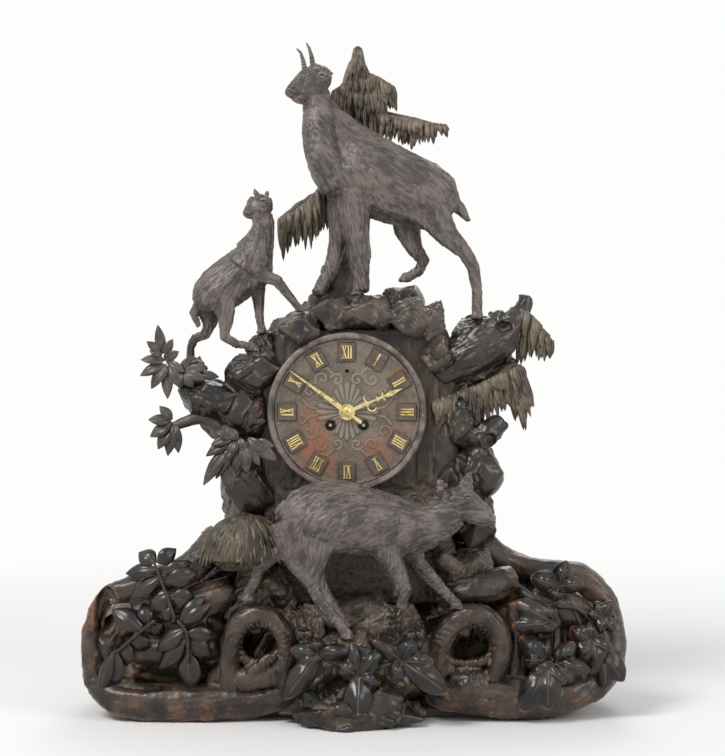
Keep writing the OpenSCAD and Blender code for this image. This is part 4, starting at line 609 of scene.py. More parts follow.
# Two rings of root stand on the front edge, each with a lump of root in its opening
carve("root_loops", "root_loops_skin", 1.25, ring_relief, root_finish, rounds=10, grow=0.3, solid=False, parts=[
    root(left_ring), root(right_ring),
    root([(240, 682, -66, 12), (256, 676, -70, 13), (274, 674, -68, 12), (286, 668, -66, 10)]),
    root([(249, 676, -78, 6), (266, 662, -76, 6.5), (283, 650, -72, 5)]),
    root([(449, 684, -60, 17), (468, 687, -62, 23), (487, 684, -60, 17)]),
    root([(262, 664, -68, 4.5), (246, 660, -68, 4.5), (238, 645, -69, 4.5), (245, 629, -70, 4.5), (261, 623, -70, 4.5),
          (277, 630, -70, 4.5), (284, 645, -69, 4.5), (277, 660, -68, 4.5), (261, 664, -68, 4.5)]),
    root([(466, 664, -68, 4.5), (449, 660, -68, 4.5), (441, 645, -69, 4.5), (448, 630, -70, 4.5), (467, 624, -70, 4.5),
          (486, 630, -70, 4.5), (493, 645, -69, 4.5), (486, 660, -68, 4.5), (465, 664, -68, 4.5)])])


def mossy_rock(p, n):
    """Low flats under a cover of moss."""
    return 0.6 * rock_relief(p, n) + 0.8 * scribble(p, 10)


def behind_rings(p):
    """The ground rocks stay behind the two root rings."""
    px, py = on_picture(p)
    hit = (py > 590) & (((px > 208) & (px < 300)) | ((px > 425) & (px < 518)))
    p[:, 1] = np.where(hit, np.maximum(p[:, 1], -58), p[:, 1])
    return p


carve("front_foot_rock", "foot_rock", 1.3, rock_relief, rock_finish)
carve("ground_rocks", "ground_rock_skin", 1.5, mossy_rock, ledge_finish, rounds=10, shape=behind_rings,
      parts=[root([(438, 556, -60, 9), (449, 564, -60, 9), (459, 572, -58, 8)])])


# Ground board: one sawn plank under the mound, planed on top, with worn corners. It shows
# only as a dark line under the roots.

turns = np.linspace(0, 2 * np.pi, 200, endpoint=False)
board_y, half_wide, half_deep, square = 24, 205, 74, 0.35
wide = np.sign(np.cos(turns)) * np.abs(np.cos(turns)) ** square * half_wide
deep = np.sign(np.sin(turns)) * np.abs(np.sin(turns)) ** square * half_deep + board_y
layers = []
for draw, high in ((0.95, 0.1), (1.0, 1.2), (1.0, 8.6), (0.985, 9.9)):
    worn = 0.7 * patches(np.stack([wide, deep, 0 * wide + high], 1), 9, 14)
    layers.append(np.stack([(wide + worn) * draw, board_y + (deep + worn - board_y) * draw, 0 * wide + high], 1))
co, faces = surface_part(np.stack(layers), True)
board = (co, faces + end_caps(4, 200), np.full(len(co), 0.1), np.full(len(co), 0.3))
finish_piece("ground_board", mesh_of("ground_board", [board], False), ground_finish, ["base_plank"])


# Rocks on the trunk: those above the dial and at both sides, each carved from its own piece
# of linden and glued to the trunk block. Their broad chisel flats take a shine.

def stepped_rock(p, n):
    """Rock that is mossy in places."""
    mossy = step(patches(p, 30, 24), 0.1, 0.45)
    return (1 - mossy) * rock_relief(p, n) + mossy * scribble(p, 25)


carve("rocks_top", "top_rocks", 1.3, stepped_rock, ledge_finish, rounds=14)
carve("rocks_left", "left_rocks", 1.4, stepped_rock, rock_finish, rounds=12)


def right_side(p, n):
    """Long bark grooves on the broken log, its dark opening, and the knot hole of the stump below it."""
    log = [(436, 380, -30), (456, 362, -32), (480, 348, -30), (502, 338, -26), (516, 322, -22), (528, 298, -18)]
    near = line_distance(p, [spot(*row) for row in log])
    flow = flow_from(p, lay([log]), 16)
    bark = 1.6 * strokes(p, flow, 4.0, 34, 104) + 0.6 * strokes(p, flow, 2.0, 16, 105)
    share = step(near, 27, 21)
    rise = share * bark + (1 - share) * stepped_rock(p, n)
    return rise, {"back": sunk(p, n, ((504, 327, 8, 5, 12), (489, 440, 6, 6, 12)))}


carve("rocks_right", "right_rocks", 1.4, right_side, rock_finish, rounds=12, parts=[
    root([(438, 380, -30, 13), (456, 364, -32, 18), (480, 350, -30, 21), (501, 338, -26, 18), (515, 322, -22, 11),
          (523, 310, -18, 8), (528, 297, -16, 5.5)]),
    root([(448, 388, -20, 13), (474, 378, -14, 14), (497, 370, -12, 12), (514, 360, -14, 8)]),
    root([(462, 470, -36, 19), (482, 472, -34, 25), (496, 464, -32, 17)]),
    root([(468, 438, -38, 8), (486, 434, -38, 13), (502, 420, -34, 8)])])


# Chamois: each is carved from its own piece of linden and pegged on its rock. Short strokes
# of a veiner follow the lie of the coat, and the stain is thinner, greyer and duller here.

# Coats: grey brown and dull, streaked along the hair
fur_finish = stained_linden("stained_linden_coat", "#3d3532", "#6c625c", "#9c928a", "#6f4631",
                            gloss=0.42, dusty=0.55, rubbed=-0.35, pore=0.45)
# Eyelids: paler, so that the eyes can be read
lid_finish = stained_linden("stained_linden_lid", "#6b605a", "#8f847b", "#a89d92", "#8a4f30",
                            gloss=0.4, dusty=0.5, rubbed=-0.1, pore=0.2)
# Eyes: black and polished, with a small highlight
eye_finish = stained_linden("stained_linden_eye", "#141110", "#241e1c", "#4a423e", "#5a3c2c",
                            gloss=0.12, dusty=0.1, rubbed=-0.6, pore=0.1)


def coat_relief(hints, marks, cuts, face, lines):
    """Hair strokes along the coat, swollen muscles and folds, a smoother face and the lines seen on it, the deeper ones
    with painted shade.
    """
    def relief(p, n):
        flow = flow_from(p, hints, 14)
        hair = strokes(p, flow, 1.25, 8, 31)
        tufts = strokes(p, flow, 3.8, 15, 32)
        bare = bump_at(p, face[:3], face[3])
        out = (0.62 * hair + 0.35 * tufts) * (1 - 0.8 * bare)
        for x, y, z, r, high in marks:
            out += high * bump_at(p, (x, y, z), r)
        for line, wide, deep in cuts:
            out -= deep * np.exp(-(line_distance(p, line) / wide) ** 2)
        px, py = on_picture(p)
        seen = np.stack([px, py, 0 * px], 1)
        front = step(-n[:, 1], -0.3, 0.1)
        # Painted shade: the deeper face lines are painted near black as well as cut
        ink = np.zeros(len(p))
        for line, wide, deep in lines:
            near = line_distance(seen, [[a, b, 0] for a, b in line])
            hit = np.exp(-(near / wide) ** 2) * front
            out -= deep * hit
            ink = np.maximum(ink, 0.8 * hit * (deep > 0.75))
        return out, {"hair": (1.3 * hair + 0.3 * tufts) * (1 - 0.5 * bare), "ink": ink}
    return relief


def eye_on(piece, px, py, r):
    """An eye of one radius with its lids, set on a carved head where it shows in the picture."""
    tree = BVHTree.FromPolygons([v.co for v in piece.data.vertices], [f.vertices for f in piece.data.polygons])
    start = Vector(eye / 1000)
    hit, normal, _, _ = tree.ray_cast(start, Vector(spot(px, py, 0) / 1000) - start)
    at, out = np.array(hit) * 1000, np.array(normal)
    side = np.cross((0, 0, 1.0), out)
    side /= np.linalg.norm(side)
    up = np.cross(out, side)
    t, a = np.meshgrid(np.linspace(0.05, 1.75, 8), np.linspace(0, 2 * np.pi, 14, endpoint=False), indexing="ij")
    t, a = t[..., None], a[..., None]
    ball = r * 0.78 * (np.sin(t) * (np.cos(a) * side + 0.85 * np.sin(a) * up) + 0.8 * np.cos(t) * out)
    co, faces = surface_part(at - 0.25 * r * out + ball, True)
    bead = (co, faces + end_caps(8, 14), np.zeros(len(co)), np.zeros(len(co)))
    lids = []
    for sign, reach in ((1, 1.02), (-1, 0.9), (1, 1.55)):
        proud = 0.1 * (reach > 1.2)
        arc = [at + r * reach * (math.cos(b) * 1.15 * side + sign * 0.8 * math.sin(b) * up)
               + out * r * (0.34 * math.sin(b) - proud) for b in np.linspace(0.12, math.pi - 0.12, 8)]
        lids.append(bough(arc, (0.14 * r, 0.3 * r, 0.3 * r, 0.12 * r), 8))
    finish_piece(piece.name + "_eye", mesh_of(piece.name + "_eye", [bead]), eye_finish)
    finish_piece(piece.name + "_lids", mesh_of(piece.name + "_lids", lids), lid_finish)


# The large chamois looks out over the left, with its head high
large_coat = [
    [-40, -25, 632, 0.7, 0.3, -0.3], [-36, -17, 610, 0.5, 0.1, -1], [-20, -15, 585, 0.7, 0, -1],
    [0, -15, 560, 1, 0, -0.5], [30, -15, 570, 1, 0, 0.1], [60, -15, 555, 1, 0, -0.3], [90, -15, 530, 0.6, 0, -0.8],
    [10, -40, 540, 0.5, 0, -1], [45, -40, 520, 1, 0, -0.5], [3, -27, 500, 0, 0, -1], [-19, -3, 490, 0, 0, -1],
    [97, -27, 481, 0.6, 0, -1], [60, -3, 480, 0.1, 0, -1], [75, -30, 505, 0.3, 0, -1]]
large_marks = [[-10, -40, 548, 13, 1.6], [82, -38, 520, 14, 1.8], [40, -46, 520, 20, 0.8], [-30, -26, 600, 9, 0.8]]
large_cuts = [([[14, -42, 560], [20, -44, 535], [12, -40, 516]], 3.2, 1.2),
              ([[62, -40, 540], [60, -42, 515], [72, -34, 500]], 3.2, 1.4)]
large_face = [([(290, 91.5), (294, 93.6), (298.7, 95.2), (305, 93.6)], 0.9, 0.9),
              ([(292.4, 87.4), (294.4, 88.4)], 1.0, 0.9), ([(316, 76), (318.4, 73.6)], 1.2, 0.7),
              ([(326, 79), (330, 82)], 1.3, 0.6), ([(304, 104), (313, 108), (324, 103)], 2.2, 0.7),
              ([(303, 74), (299, 82)], 3.0, -0.7), ([(315, 70), (322, 69)], 1.6, -0.9)]
large_limbs = [
    root([(313, 77, -20, 14), (309, 88, -24, 15.5), (301, 92, -31, 12), (297, 90, -36, 9.5)], 20),
    root([(316, 98, -22, 14), (318, 112, -23, 15), (319, 130, -25, 17), (322, 150, -27, 18), (328, 172, -27, 17),
          (336, 190, -24, 14)], 20),
    root([(340, 196, -16, 13), (340, 228, -16, 10), (333, 262, -16, 7.5), (322, 286, -20, 6.5),
          (316, 295, -24, 6)], 16),
    root([(356, 190, -26, 15), (356, 228, -26, 12), (358, 262, -26, 9), (361, 282, -26, 8.5), (361, 292, -27, 8)], 16)]
top_chamois = carve("large_chamois", "top_chamois", 0.92,
                    coat_relief(large_coat, large_marks, large_cuts, (-58, -34, 629, 12), large_face),
                    fur_finish, 22, 0.3, large_limbs)
eye_on(top_chamois, 321.8, 75.8, 2.9)

# Horns: turned rings all the way up, hooked back at the tip, glued in two drilled holes
horns = []
front_horn = [(-41, -15.5, 646), (-41.4, -16, 656), (-43, -16, 667), (-45.5, -13.5, 676), (-48.3, -8, 682)]
far_horn = [(-49.3, -21.8, 643), (-49.8, -22, 653), (-51.4, -22, 662), (-54, -20.5, 670), (-58, -16, 674.8)]
for line, wide in ((np.array(front_horn), 3.7), (np.array(far_horn), 3.5)):
    line = [[np.interp(t, np.linspace(0, 1, 5), line[:, c]) for c in range(3)] for t in np.linspace(0, 1, 9)]
    run = np.linspace(0, 1, 90)
    rings = np.where(run < 0.72, 0.09 * np.sin(2 * math.pi * 11 * run), 0)
    horns.append(bough(line, wide * (1 - 0.78 * run) * (1 + rings), 16, fine=12))
finish_piece("horn_pair", mesh_of("horn_pair", horns), fur_finish, ["large_chamois_horns"])

# The kid steps up on the left shoulder
kid_coat = [
    [-98, -46, 508, 0.8, 0, 0], [-91, -40, 490, 0, 0, -1], [-98, -38, 468, -0.5, 0, -1],
    [-120, -38, 445, -1, 0, -0.4], [-145, -38, 425, -1, 0, -0.6], [-84, -48, 438, 1, 0, -0.2],
    [-95, -34, 410, 0, 0, -1], [-128, -48, 395, 0, 0, -1], [-147, -30, 395, 0, 0, -1]]
kid_face = [([(245.6, 214.6), (249, 215.6), (254, 213.4)], 0.8, 0.8), ([(244.6, 209.4), (245.8, 210.2)], 0.9, 0.8),
            ([(258, 201), (260, 199.4)], 1.0, 0.6), ([(252, 200), (249, 207)], 2.4, -0.5)]
kid_marks = [[-102, -56, 448, 9, 1.0], [-140, -56, 426, 10, 1.2]]
kid_cuts = [([[-112, -58, 458], [-114, -60, 440]], 2.6, 0.9)]
kid_limbs = [
    root([(260, 202, -48, 11.5), (257, 209, -51, 11.5), (252, 213, -55, 8.5)], 18),
    root([(262, 214, -46, 9.5), (263, 228, -44, 11), (259, 243, -42, 15), (252, 258, -42, 19),
          (244, 270, -42, 20)], 20)]
kid = carve("kid_chamois", "kid", 0.8, coat_relief(kid_coat, kid_marks, kid_cuts, (-103, -50, 504, 8), kid_face),
            fur_finish, 22, 0.3, kid_limbs)
eye_on(kid, 263.2, 201.2, 2.4)

# The lower chamois walks to the right in front of the trunk
lower_coat = [
    [110, -95, 212, -1, 0, 0.2], [95, -92, 212, -1, 0, -0.3], [78, -90, 200, -1, 0, 0.1],
    [45, -90, 205, -1, 0, 0.2], [10, -90, 215, -1, 0, 0], [-20, -90, 215, -1, 0, -0.1], [-50, -90, 208, -0.6, 0, -1],
    [-36, -103, 180, 0, 0, -1], [35, -103, 170, 0, 0, -1], [0, -115, 190, -1, 0, -0.6], [-70, -80, 168, -1, 0, -0.3]]
lower_face = [([(480, 523.2), (486, 523.4), (491, 521.6)], 0.9, 0.9), ([(489.6, 515), (490.8, 516.4)], 1.0, 0.9),
              ([(458.8, 505), (464, 505), (468.5, 502.4)], 1.3, 0.8), ([(447, 499), (450, 494), (447, 489)], 1.7, 1.0),
              ([(462, 493), (469, 491.6), (474, 495)], 1.3, -0.8), ([(474, 505), (482, 512)], 3.0, -0.5)]
lower_marks = [[-32, -116, 196, 16, 1.8], [48, -112, 196, 14, 1.6]]
lower_cuts = [([[-8, -118, 214], [-12, -120, 196], [-22, -114, 180]], 3.4, 1.4),
              ([[24, -116, 208], [22, -118, 190]], 3.2, 1.1)]
lower_limbs = [
    root([(452, 501, -91, 13), (466, 504, -93, 13.5), (479, 511, -94, 10.5), (487, 517, -94, 8)], 20),
    root([(455, 510, -90, 16), (438, 521, -90, 19), (418, 529, -88, 23), (396, 532, -86, 26)], 22),
    root([(306, 518, -88, 26), (330, 521, -89, 30), (360, 524, -89, 30), (395, 530, -86, 27)], 26),
    root([(292, 520, -88, 24), (299, 550, -92, 19), (312, 576, -95, 12), (321, 592, -96, 8), (335, 612, -97, 6.5),
          (346, 629, -98, 6.5)], 20),
    root([(384, 548, -92, 15), (394, 567, -94, 10.5), (401, 583, -94, 8), (399, 597, -94, 6)], 16),
    root([(441, 497, -94, 4), (440, 488, -95, 4.5), (439, 479, -95, 1.2)], 12),
    root([(466, 493, -92, 5), (468, 483, -93, 5), (469.5, 472, -93, 1.4)], 12)]
front_chamois = carve("lower_chamois", "front_chamois", 0.92,
                      coat_relief(lower_coat, lower_marks, lower_cuts, (125, -97, 205, 12), lower_face),
                      fur_finish, 22, 0.3, lower_limbs)
eye_on(front_chamois, 468.3, 497.3, 2.7)


# Trees and leaves: fir boughs hang as thick fluted strands, the oak leaves stand in
# rosettes, the sprays have pairs of smooth leaflets and the ivy has swollen lobes. They are
# carved from small pieces of linden, glued on with their twigs, and their tips are rubbed.

# Ivy and spray leaves: black and glossy, orange where the tips are rubbed
leaf_finish = stained_linden("stained_linden_leaf", "#171413", "#332b27", "#8a7e6c", "#a8622f",
                             gloss=0.2, dusty=0.42, rubbed=0.02, pore=0.15)
# Fir: grey brown and dry, dusty between the strands
fir_finish = stained_linden("stained_linden_fir", "#2f2720", "#6a5d4f", "#a2927b", "#9a5228",
                            gloss=0.42, dusty=0.5, rubbed=0.05, pore=0.4)
# Oak leaves: between the two, with a soft shine
oak_finish = stained_linden("stained_linden_oak_leaf", "#2b2624", "#62574f", "#9a8e7e", "#a8622f",
                            gloss=0.28, dusty=0.4, rubbed=0.05, pore=0.25)


def blade(rows, cols, fold, cup, droop, point):
    """One leaflet of length and width 1 along X, with its face up, its midrib sunk and its tip bent down."""
    u = np.linspace(0, 1, rows)[:, None]
    v = np.linspace(-1, 1, cols)[None, :]
    half = 0.5 * np.sin(np.pi * np.clip(u, 0.02, 0.985) ** (0.85 * point)) ** (0.75 * point)
    x = u + 0 * v
    y = half * v
    z = cup * (1 - v ** 2) * np.sin(np.pi * u) + fold * np.abs(v) * half - droop * u ** 2
    z = z - 0.05 * np.exp(-(v / 0.12) ** 2) * (u < 0.97)
    top = np.stack([x, y, z], 2)
    under = top.copy()
    under[:, :, 2] -= 0.16 * (1 - 0.75 * v ** 2) * np.sin(np.pi * np.clip(u, 0.04, 0.96)) ** 0.5
    a, faces = surface_part(top)
    b, _ = surface_part(under)
    n = len(a)
    faces += [tuple(n + q for q in f[::-1]) for f in faces]
    idx = np.arange(n).reshape(rows, cols)
    ring = [*idx[:, 0], *idx[-1, 1:], *idx[-2::-1, -1], *idx[0, -2:0:-1]]
    faces += [(int(i), int(j), int(n + j), int(n + i)) for i, j in zip(ring, ring[1:] + ring[:1])]
    rub = np.clip(np.abs(v) ** 6 * 0.55 + step(u + 0 * v, 0.86, 1.0) * 0.75, 0, 1)
    dust = np.clip(0.45 * np.exp(-(v / 0.1) ** 2) + 0.5 * step(1 - u + 0 * v, 0.8, 1.0), 0, 1)
    rub, dust = rub.ravel(), dust.ravel()
    return np.concatenate([a, b]), faces, np.concatenate([rub, rub * 0.5]), np.concatenate([dust, np.full(n, 0.3)])


def strand(rows=13, sides=16, flutes=4):
    """One hanging strand of fir needles, fluted along and pointed below, of length and width 1."""
    u = np.linspace(0, 1, rows)[:, None]
    turn = np.linspace(0, 2 * np.pi, sides, endpoint=False)[None, :]
    swell = 0.5 + 0.5 * np.sin(np.pi * np.clip(u, 0, 1) ** 0.9) ** 0.7
    r = 0.5 * swell * np.sqrt(np.clip(1.0 - u ** 3.2, 0.004, 1)) * np.where(u < 0.01, 0.5, 1.0)
    r = r * (1 + 0.24 * np.cos(flutes * turn + 1.2 * np.sin(3 * u)))
    grid = np.stack([u + 0 * turn, r * np.cos(turn), 0.8 * r * np.sin(turn) + 0.16 * np.sin(np.pi * u * 0.9)], 2)
    co, faces = surface_part(grid, True)
    faces += end_caps(rows, sides)
    rub = (step(u, 0.72, 1.0) * (0.3 + 0.3 * np.cos(flutes * turn)) + 0 * turn).ravel()
    dust = np.clip(0.5 - 0.5 * np.cos(flutes * turn) + 0 * u, 0, 1).ravel() * (1 - 0.6 * (u + 0 * turn).ravel())
    return co, faces, rub, dust


# Geometry Nodes that set one carved element on every point of a mesh, aimed along the
# point's way, turned to its face and stretched to its own size
setting = bpy.data.node_groups.new("carved_elements", "GeometryNodeTree")
for name, kind in (("Points", "Geometry"), ("Element", "Object"), ("Finish", "Material"),
                   ("Size change", "Float"), ("Seed", "Int")):
    setting.interface.new_socket(name, in_out="INPUT", socket_type="NodeSocket" + kind)
setting.interface.new_socket("Carving", in_out="OUTPUT", socket_type="NodeSocketGeometry")
given = put(setting, "NodeGroupInput")
element = put(setting, "GeometryNodeObjectInfo", Object=given.outputs["Element"])
named = {"data_type": "FLOAT_VECTOR"}
way, face, size = (put(setting, "GeometryNodeInputNamedAttribute", named, Name=key).outputs["Attribute"]
                   for key in ("way", "face", "size"))
aimed = put(setting, "FunctionNodeAlignRotationToVector", {"axis": "X"}, Vector=way)
turned = put(setting, "FunctionNodeAlignRotationToVector", {"axis": "Z", "pivot_axis": "X"},
             Rotation=aimed.outputs["Rotation"], Vector=face)
least = combine(setting, "SUBTRACT", 1.0, given.outputs["Size change"])
most = combine(setting, "ADD", 1.0, given.outputs["Size change"])
chance = put(setting, "FunctionNodeRandomValue", {"data_type": "FLOAT"}, i2=least, i3=most, Seed=given.outputs["Seed"])
grown = put(setting, "ShaderNodeVectorMath", {"operation": "SCALE"}, i0=size, Scale=chance.outputs[1])
dotted = put(setting, "GeometryNodeInstanceOnPoints", Points=given.outputs["Points"],
             Instance=element.outputs["Geometry"], Rotation=turned.outputs["Rotation"], Scale=grown.outputs["Vector"])
solid = put(setting, "GeometryNodeRealizeInstances", Geometry=dotted.outputs["Instances"])
coated = put(setting, "GeometryNodeSetMaterial", Geometry=solid.outputs["Geometry"], Material=given.outputs["Finish"])
put(setting, "NodeGroupOutput", Carving=coated.outputs["Geometry"])


def element_object(name, part):
    """A carved element held as an object until the pieces are made."""
    shape = mesh_of(name, [(part[0] * 1000, *part[1:])])
    held = bpy.data.objects.new(name, shape)
    bpy.context.scene.collection.objects.link(held)
    return held


def set_elements(rows, element, finish, change=0.0, seed=1):
    """Rows of (base, tip, face, width, thickness) in millimetres as realized elements, given back as one part."""
    rows = [(np.array(b, float), np.array(t, float), np.array(f, float), w, h) for b, t, f, w, h in rows]
    dots = bpy.data.meshes.new("dots")
    dots.from_pydata([(r[0] / 1000).tolist() for r in rows], [], [])
    long = [np.linalg.norm(r[1] - r[0]) for r in rows]
    told = {"way": [(r[1] - r[0]) / l for r, l in zip(rows, long)], "face": [r[2] for r in rows],
            "size": [(l / 1000, r[3] / 1000, r[4] / 1000) for r, l in zip(rows, long)]}
    for key, values in told.items():
        values = np.array(values, np.float32).ravel()
        dots.attributes.new(key, "FLOAT_VECTOR", "POINT").data.foreach_set("vector", values)
    carrier = bpy.data.objects.new("dots", dots)
    bpy.context.scene.collection.objects.link(carrier)
    nodes = carrier.modifiers.new("elements", "NODES")
    nodes.node_group = setting
    names = {item.name: item.identifier for item in setting.interface.items_tree if item.in_out == "INPUT"}
    for key, value in (("Element", element), ("Finish", finish), ("Size change", change), ("Seed", seed)):
        nodes[names[key]] = value
    made = bpy.data.meshes.new_from_object(carrier.evaluated_get(bpy.context.evaluated_depsgraph_get()))
    carrier.modifiers.remove(nodes)
    bpy.data.objects.remove(carrier)
    co = read_points(made)
    faces = [tuple(f.vertices) for f in made.polygons]
    values = []
    for key in ("edge", "hollow"):
        v = np.zeros(len(co), np.float32)
        made.attributes[key].data.foreach_get("value", v)
        values.append(v.astype(float))
    bpy.data.meshes.remove(made)
    return co, faces, values[0], values[1]


def leaf_piece(name, parts, finish, node):
    """Twigs and leaves as one piece in the place of their node."""
    return finish_piece(name, mesh_of(name, parts), finish, [node])


needle_strand = element_object("needle_strand", strand())
oak_blade = element_object("oak_blade", blade(12, 9, 0.16, 0.14, 0.12, 1.05))
spray_blade = element_object("spray_blade", blade(14, 11, 0.06, 0.26, 0.36, 1.12))


# Fir: a stem with two boughs behind the large chamois, one bough by the kid and two on the
# right. Each is one piece of linden, fluted into hanging needles and glued in its rock.

def hang(branch, hem, y, count, width, seed, layers=3, back=5.0):
    """Strands from a branch down to a hem, both as places of the picture, in overlapping layers."""
    rng = np.random.default_rng(seed)
    branch, hem = np.array(branch, float), np.array(hem, float)
    count, width = int(count * 1.8), width * 0.62
    rows = []
    for layer in range(layers):
        for k in range(count):
            t = np.clip((k + 0.5 + rng.uniform(-0.3, 0.3)) / count, 0, 1)
            b = [np.interp(t * (len(branch) - 1), range(len(branch)), branch[:, c]) for c in (0, 1)]
            h = [np.interp(t * (len(hem) - 1), range(len(hem)), hem[:, c]) for c in (0, 1)]
            share = rng.uniform(0.8, 1.08) - 0.27 * layer
            deep = y + layer * -2.6 + rng.uniform(-1.5, 1.5) + (back if rng.random() < 0.3 else 0)
            tip = [b[0] + (h[0] - b[0]) * share, b[1] + (h[1] - b[1]) * share]
            rows.append((spot(b[0], b[1] - 2, deep), spot(tip[0], tip[1], deep - 4),
                         (0.15 * rng.uniform(-1, 1), -1, 0.25), width * rng.uniform(0.8, 1.2), width * 0.9))
    return rows


top_rows = (hang([(356.5, 49), (358, 48), (359.5, 49)], [(349, 80), (358, 88), (368, 79)], 9, 4, 8, 40)
            + hang([(352, 62), (356, 60), (362, 62)], [(338, 100), (356, 108), (378, 96)], 12, 5, 9, 41)
            + hang([(352, 78), (340, 88), (334, 92)], [(346, 118), (338, 126), (330, 114)], 13, 4, 9, 42)
            + hang([(362, 72), (378, 78), (392, 88)], [(362, 122), (384, 122), (398, 106)], 13, 6, 9, 43)
            + hang([(350, 90), (366, 92), (384, 100)], [(344, 132), (366, 140), (388, 140)], 16, 7, 9, 44)
            + hang([(384, 116), (402, 120), (420, 124)], [(378, 140), (400, 148), (416, 148)], 10, 6, 9, 45)
            + hang([(410, 122), (428, 124), (446, 126)], [(416, 148), (428, 144), (450, 138)], 10, 5, 8, 46))
leaf_piece("fir_tree_behind", [
    bough([(-24, 18, 400), (-18, 20, 425), (-11, 22, 460), (-3, 25, 510), (6, 24, 580), (7, 20, 640), (4, 17, 676)],
          (29, 22, 18, 15, 10, 6, 1.5), 36, 2.6, 47, fine=14),
    twig([spot(352, 318, 16), spot(336, 306, 6), spot(322, 300, -8), spot(312, 300, -20)], 11, 6, 14, 1.4, 48),
    twig([spot(362, 104, 20), spot(390, 116, 18), spot(420, 122, 12), spot(449, 130, 10)], 4.5, 3.4, 10, 0.8, 49),
    set_elements(top_rows, needle_strand, fir_finish, 0.12, 50)], fir_finish, "fir_tree_top")
left_rows = (hang([(318, 190), (306, 204), (292, 214), (279, 220)],
                  [(324, 238), (306, 252), (292, 246), (280, 258)], -4, 9, 9, 51)
             + hang([(330, 186), (320, 192), (310, 200)], [(334, 236), (322, 244), (312, 246)], 4, 5, 9, 52))
leaf_piece("fir_bough_behind", [
    twig([spot(352, 204, 24), spot(330, 192, 16), spot(308, 200, 4), spot(279, 221, -6)], 5, 3, 10, 0.8, 53),
    set_elements(left_rows, needle_strand, fir_finish, 0.12, 54)], fir_finish, "fir_bough_left")
right_rows = (hang([(515, 314), (524, 310), (533, 318), (543, 331), (551, 343)],
                   [(503, 358), (516, 361), (530, 368), (543, 365), (553, 355)], -20, 9, 11, 55)
              + hang([(519, 366), (511, 371), (498, 376), (478, 386), (455, 394), (434, 402)],
                     [(535, 402), (524, 424), (508, 412), (482, 432), (460, 440), (441, 451)], -34, 16, 12, 57)
              + hang([(470, 390), (452, 398), (440, 404)], [(470, 438), (450, 448), (434, 430)], -38, 7, 11, 58)
              + hang([(520, 368), (516, 376), (510, 384)], [(535, 398), (526, 424), (514, 420)], -30, 6, 11, 59))
leaf_piece("fir_boughs_side", [
    twig([(136, -20, 378), (156, -18, 398), (168, -16, 408), (172, -15, 416), (173, -14, 424)], 9, 4, 12, 1.2, 60),
    twig([(112, -22, 290), (130, -28, 318), (150, -27, 342), (164, -26, 354)], 11, 5, 12, 1.2, 61),
    set_elements(right_rows, needle_strand, fir_finish, 0.12, 62)], fir_finish, "fir_trees_right")


# Oak: two branches on the left with bunches of short leaves that overlap, carved with their
# twigs from small pieces of linden and pegged in the rocks.

def leaflets(rows, y, size=1.25, bend=3.0):
    """Leaflets of a spray or a bunch, each as base and tip in the picture with its width."""
    made = []
    for k, (bx, by, tx, ty, wide) in enumerate(rows):
        base, tip = spot(bx, by, y - 1.2 * (k % 3)), spot(tx, ty, y + bend - 2.0 * (k % 2))
        across = np.cross(tip - base, (0, -1, 0))
        across /= np.linalg.norm(across) + 1e-9
        made.append((base, tip, (0.25 * across[0], -1, 0.25 * across[2] + 0.2), wide * size, 15))
    return made


upper_bunch = [(162, 354, 158, 325, 9), (160, 352, 147, 341, 8), (164, 354, 173, 339, 8), (165, 360, 141, 359, 9),
               (164, 364, 140, 375, 10), (165, 366, 151, 388, 10), (168, 366, 167, 397, 10), (170, 364, 178, 386, 9),
               (162, 356, 150, 350, 7), (167, 358, 178, 352, 8), (166, 364, 158, 382, 9), (169, 362, 184, 372, 8)]
next_bunch = [(182, 370, 190, 357, 8), (184, 372, 207, 366, 9), (184, 374, 193, 388, 9), (180, 372, 178, 386, 8),
              (200, 374, 219, 377, 8), (186, 372, 204, 379, 8)]
low_bunch = [(172, 420, 160, 406, 9), (170, 421, 149, 419, 10), (170, 425, 150, 436, 11), (171, 427, 158, 448, 11),
             (174, 427, 167, 456, 11), (176, 425, 178, 454, 10), (172, 422, 156, 428, 9), (175, 424, 172, 446, 9)]
middle_bunch = [(230, 440, 205, 456, 10), (228, 446, 204, 483, 11), (232, 448, 215, 479, 10), (236, 444, 221, 463, 10),
                (240, 446, 232, 475, 11), (244, 446, 247, 473, 11), (246, 442, 259, 465, 10), (248, 438, 263, 452, 9),
                (256, 446, 276, 460, 10), (254, 442, 273, 446, 9), (238, 440, 227, 427, 9), (232, 438, 217, 431, 9),
                (240, 438, 243, 456, 10), (236, 440, 228, 456, 10), (226, 462, 231, 492, 12), (234, 436, 212, 444, 9)]
left_oak = (leaflets(upper_bunch, -38, 1.22, -5) + leaflets(next_bunch, -40, 1.22, -4)
            + leaflets(low_bunch, -37, 1.22, -4))
leaf_piece("oak_leaves_left", [
    twig([(-112, -20, 240), (-130, -24, 274), (-142, -28, 293), (-160, -30, 298), (-186, -34, 288)],
         11, 4, 12, 1.2, 63),
    twig([(-136, -16, 280), (-160, -14, 306), (-172, -20, 330), (-181, -31, 348), (-190, -33, 364)], 9, 3, 12, 1.2, 64),
    twig([(-181, -33, 346), (-170, -38, 352), (-156, -40, 356)], 3.4, 2.4, 8, 0.4, 65),
    set_elements(left_oak, oak_blade, oak_finish, 0.05, 70)], oak_finish, "oak_branch_left")
middle_oak = leaflets(middle_bunch, -65, 1.22, -4)
leaf_piece("oak_leaves_middle", [
    twig([(-128, -30, 288), (-124, -46, 276), (-118, -62, 266)], 7, 4, 10, 0.8, 71),
    twig([(-118, -62, 266), (-104, -64, 262)], 3.4, 2.6, 8, 0.4, 72),
    set_elements(middle_oak, oak_blade, oak_finish, 0.05, 76)], oak_finish, "oak_spray_centre")


# Leaf sprays: three sprays of smooth leaflets in pairs on thin stalks. They are carved in one
# with their stalks and stand free before the left root, on two pegs.

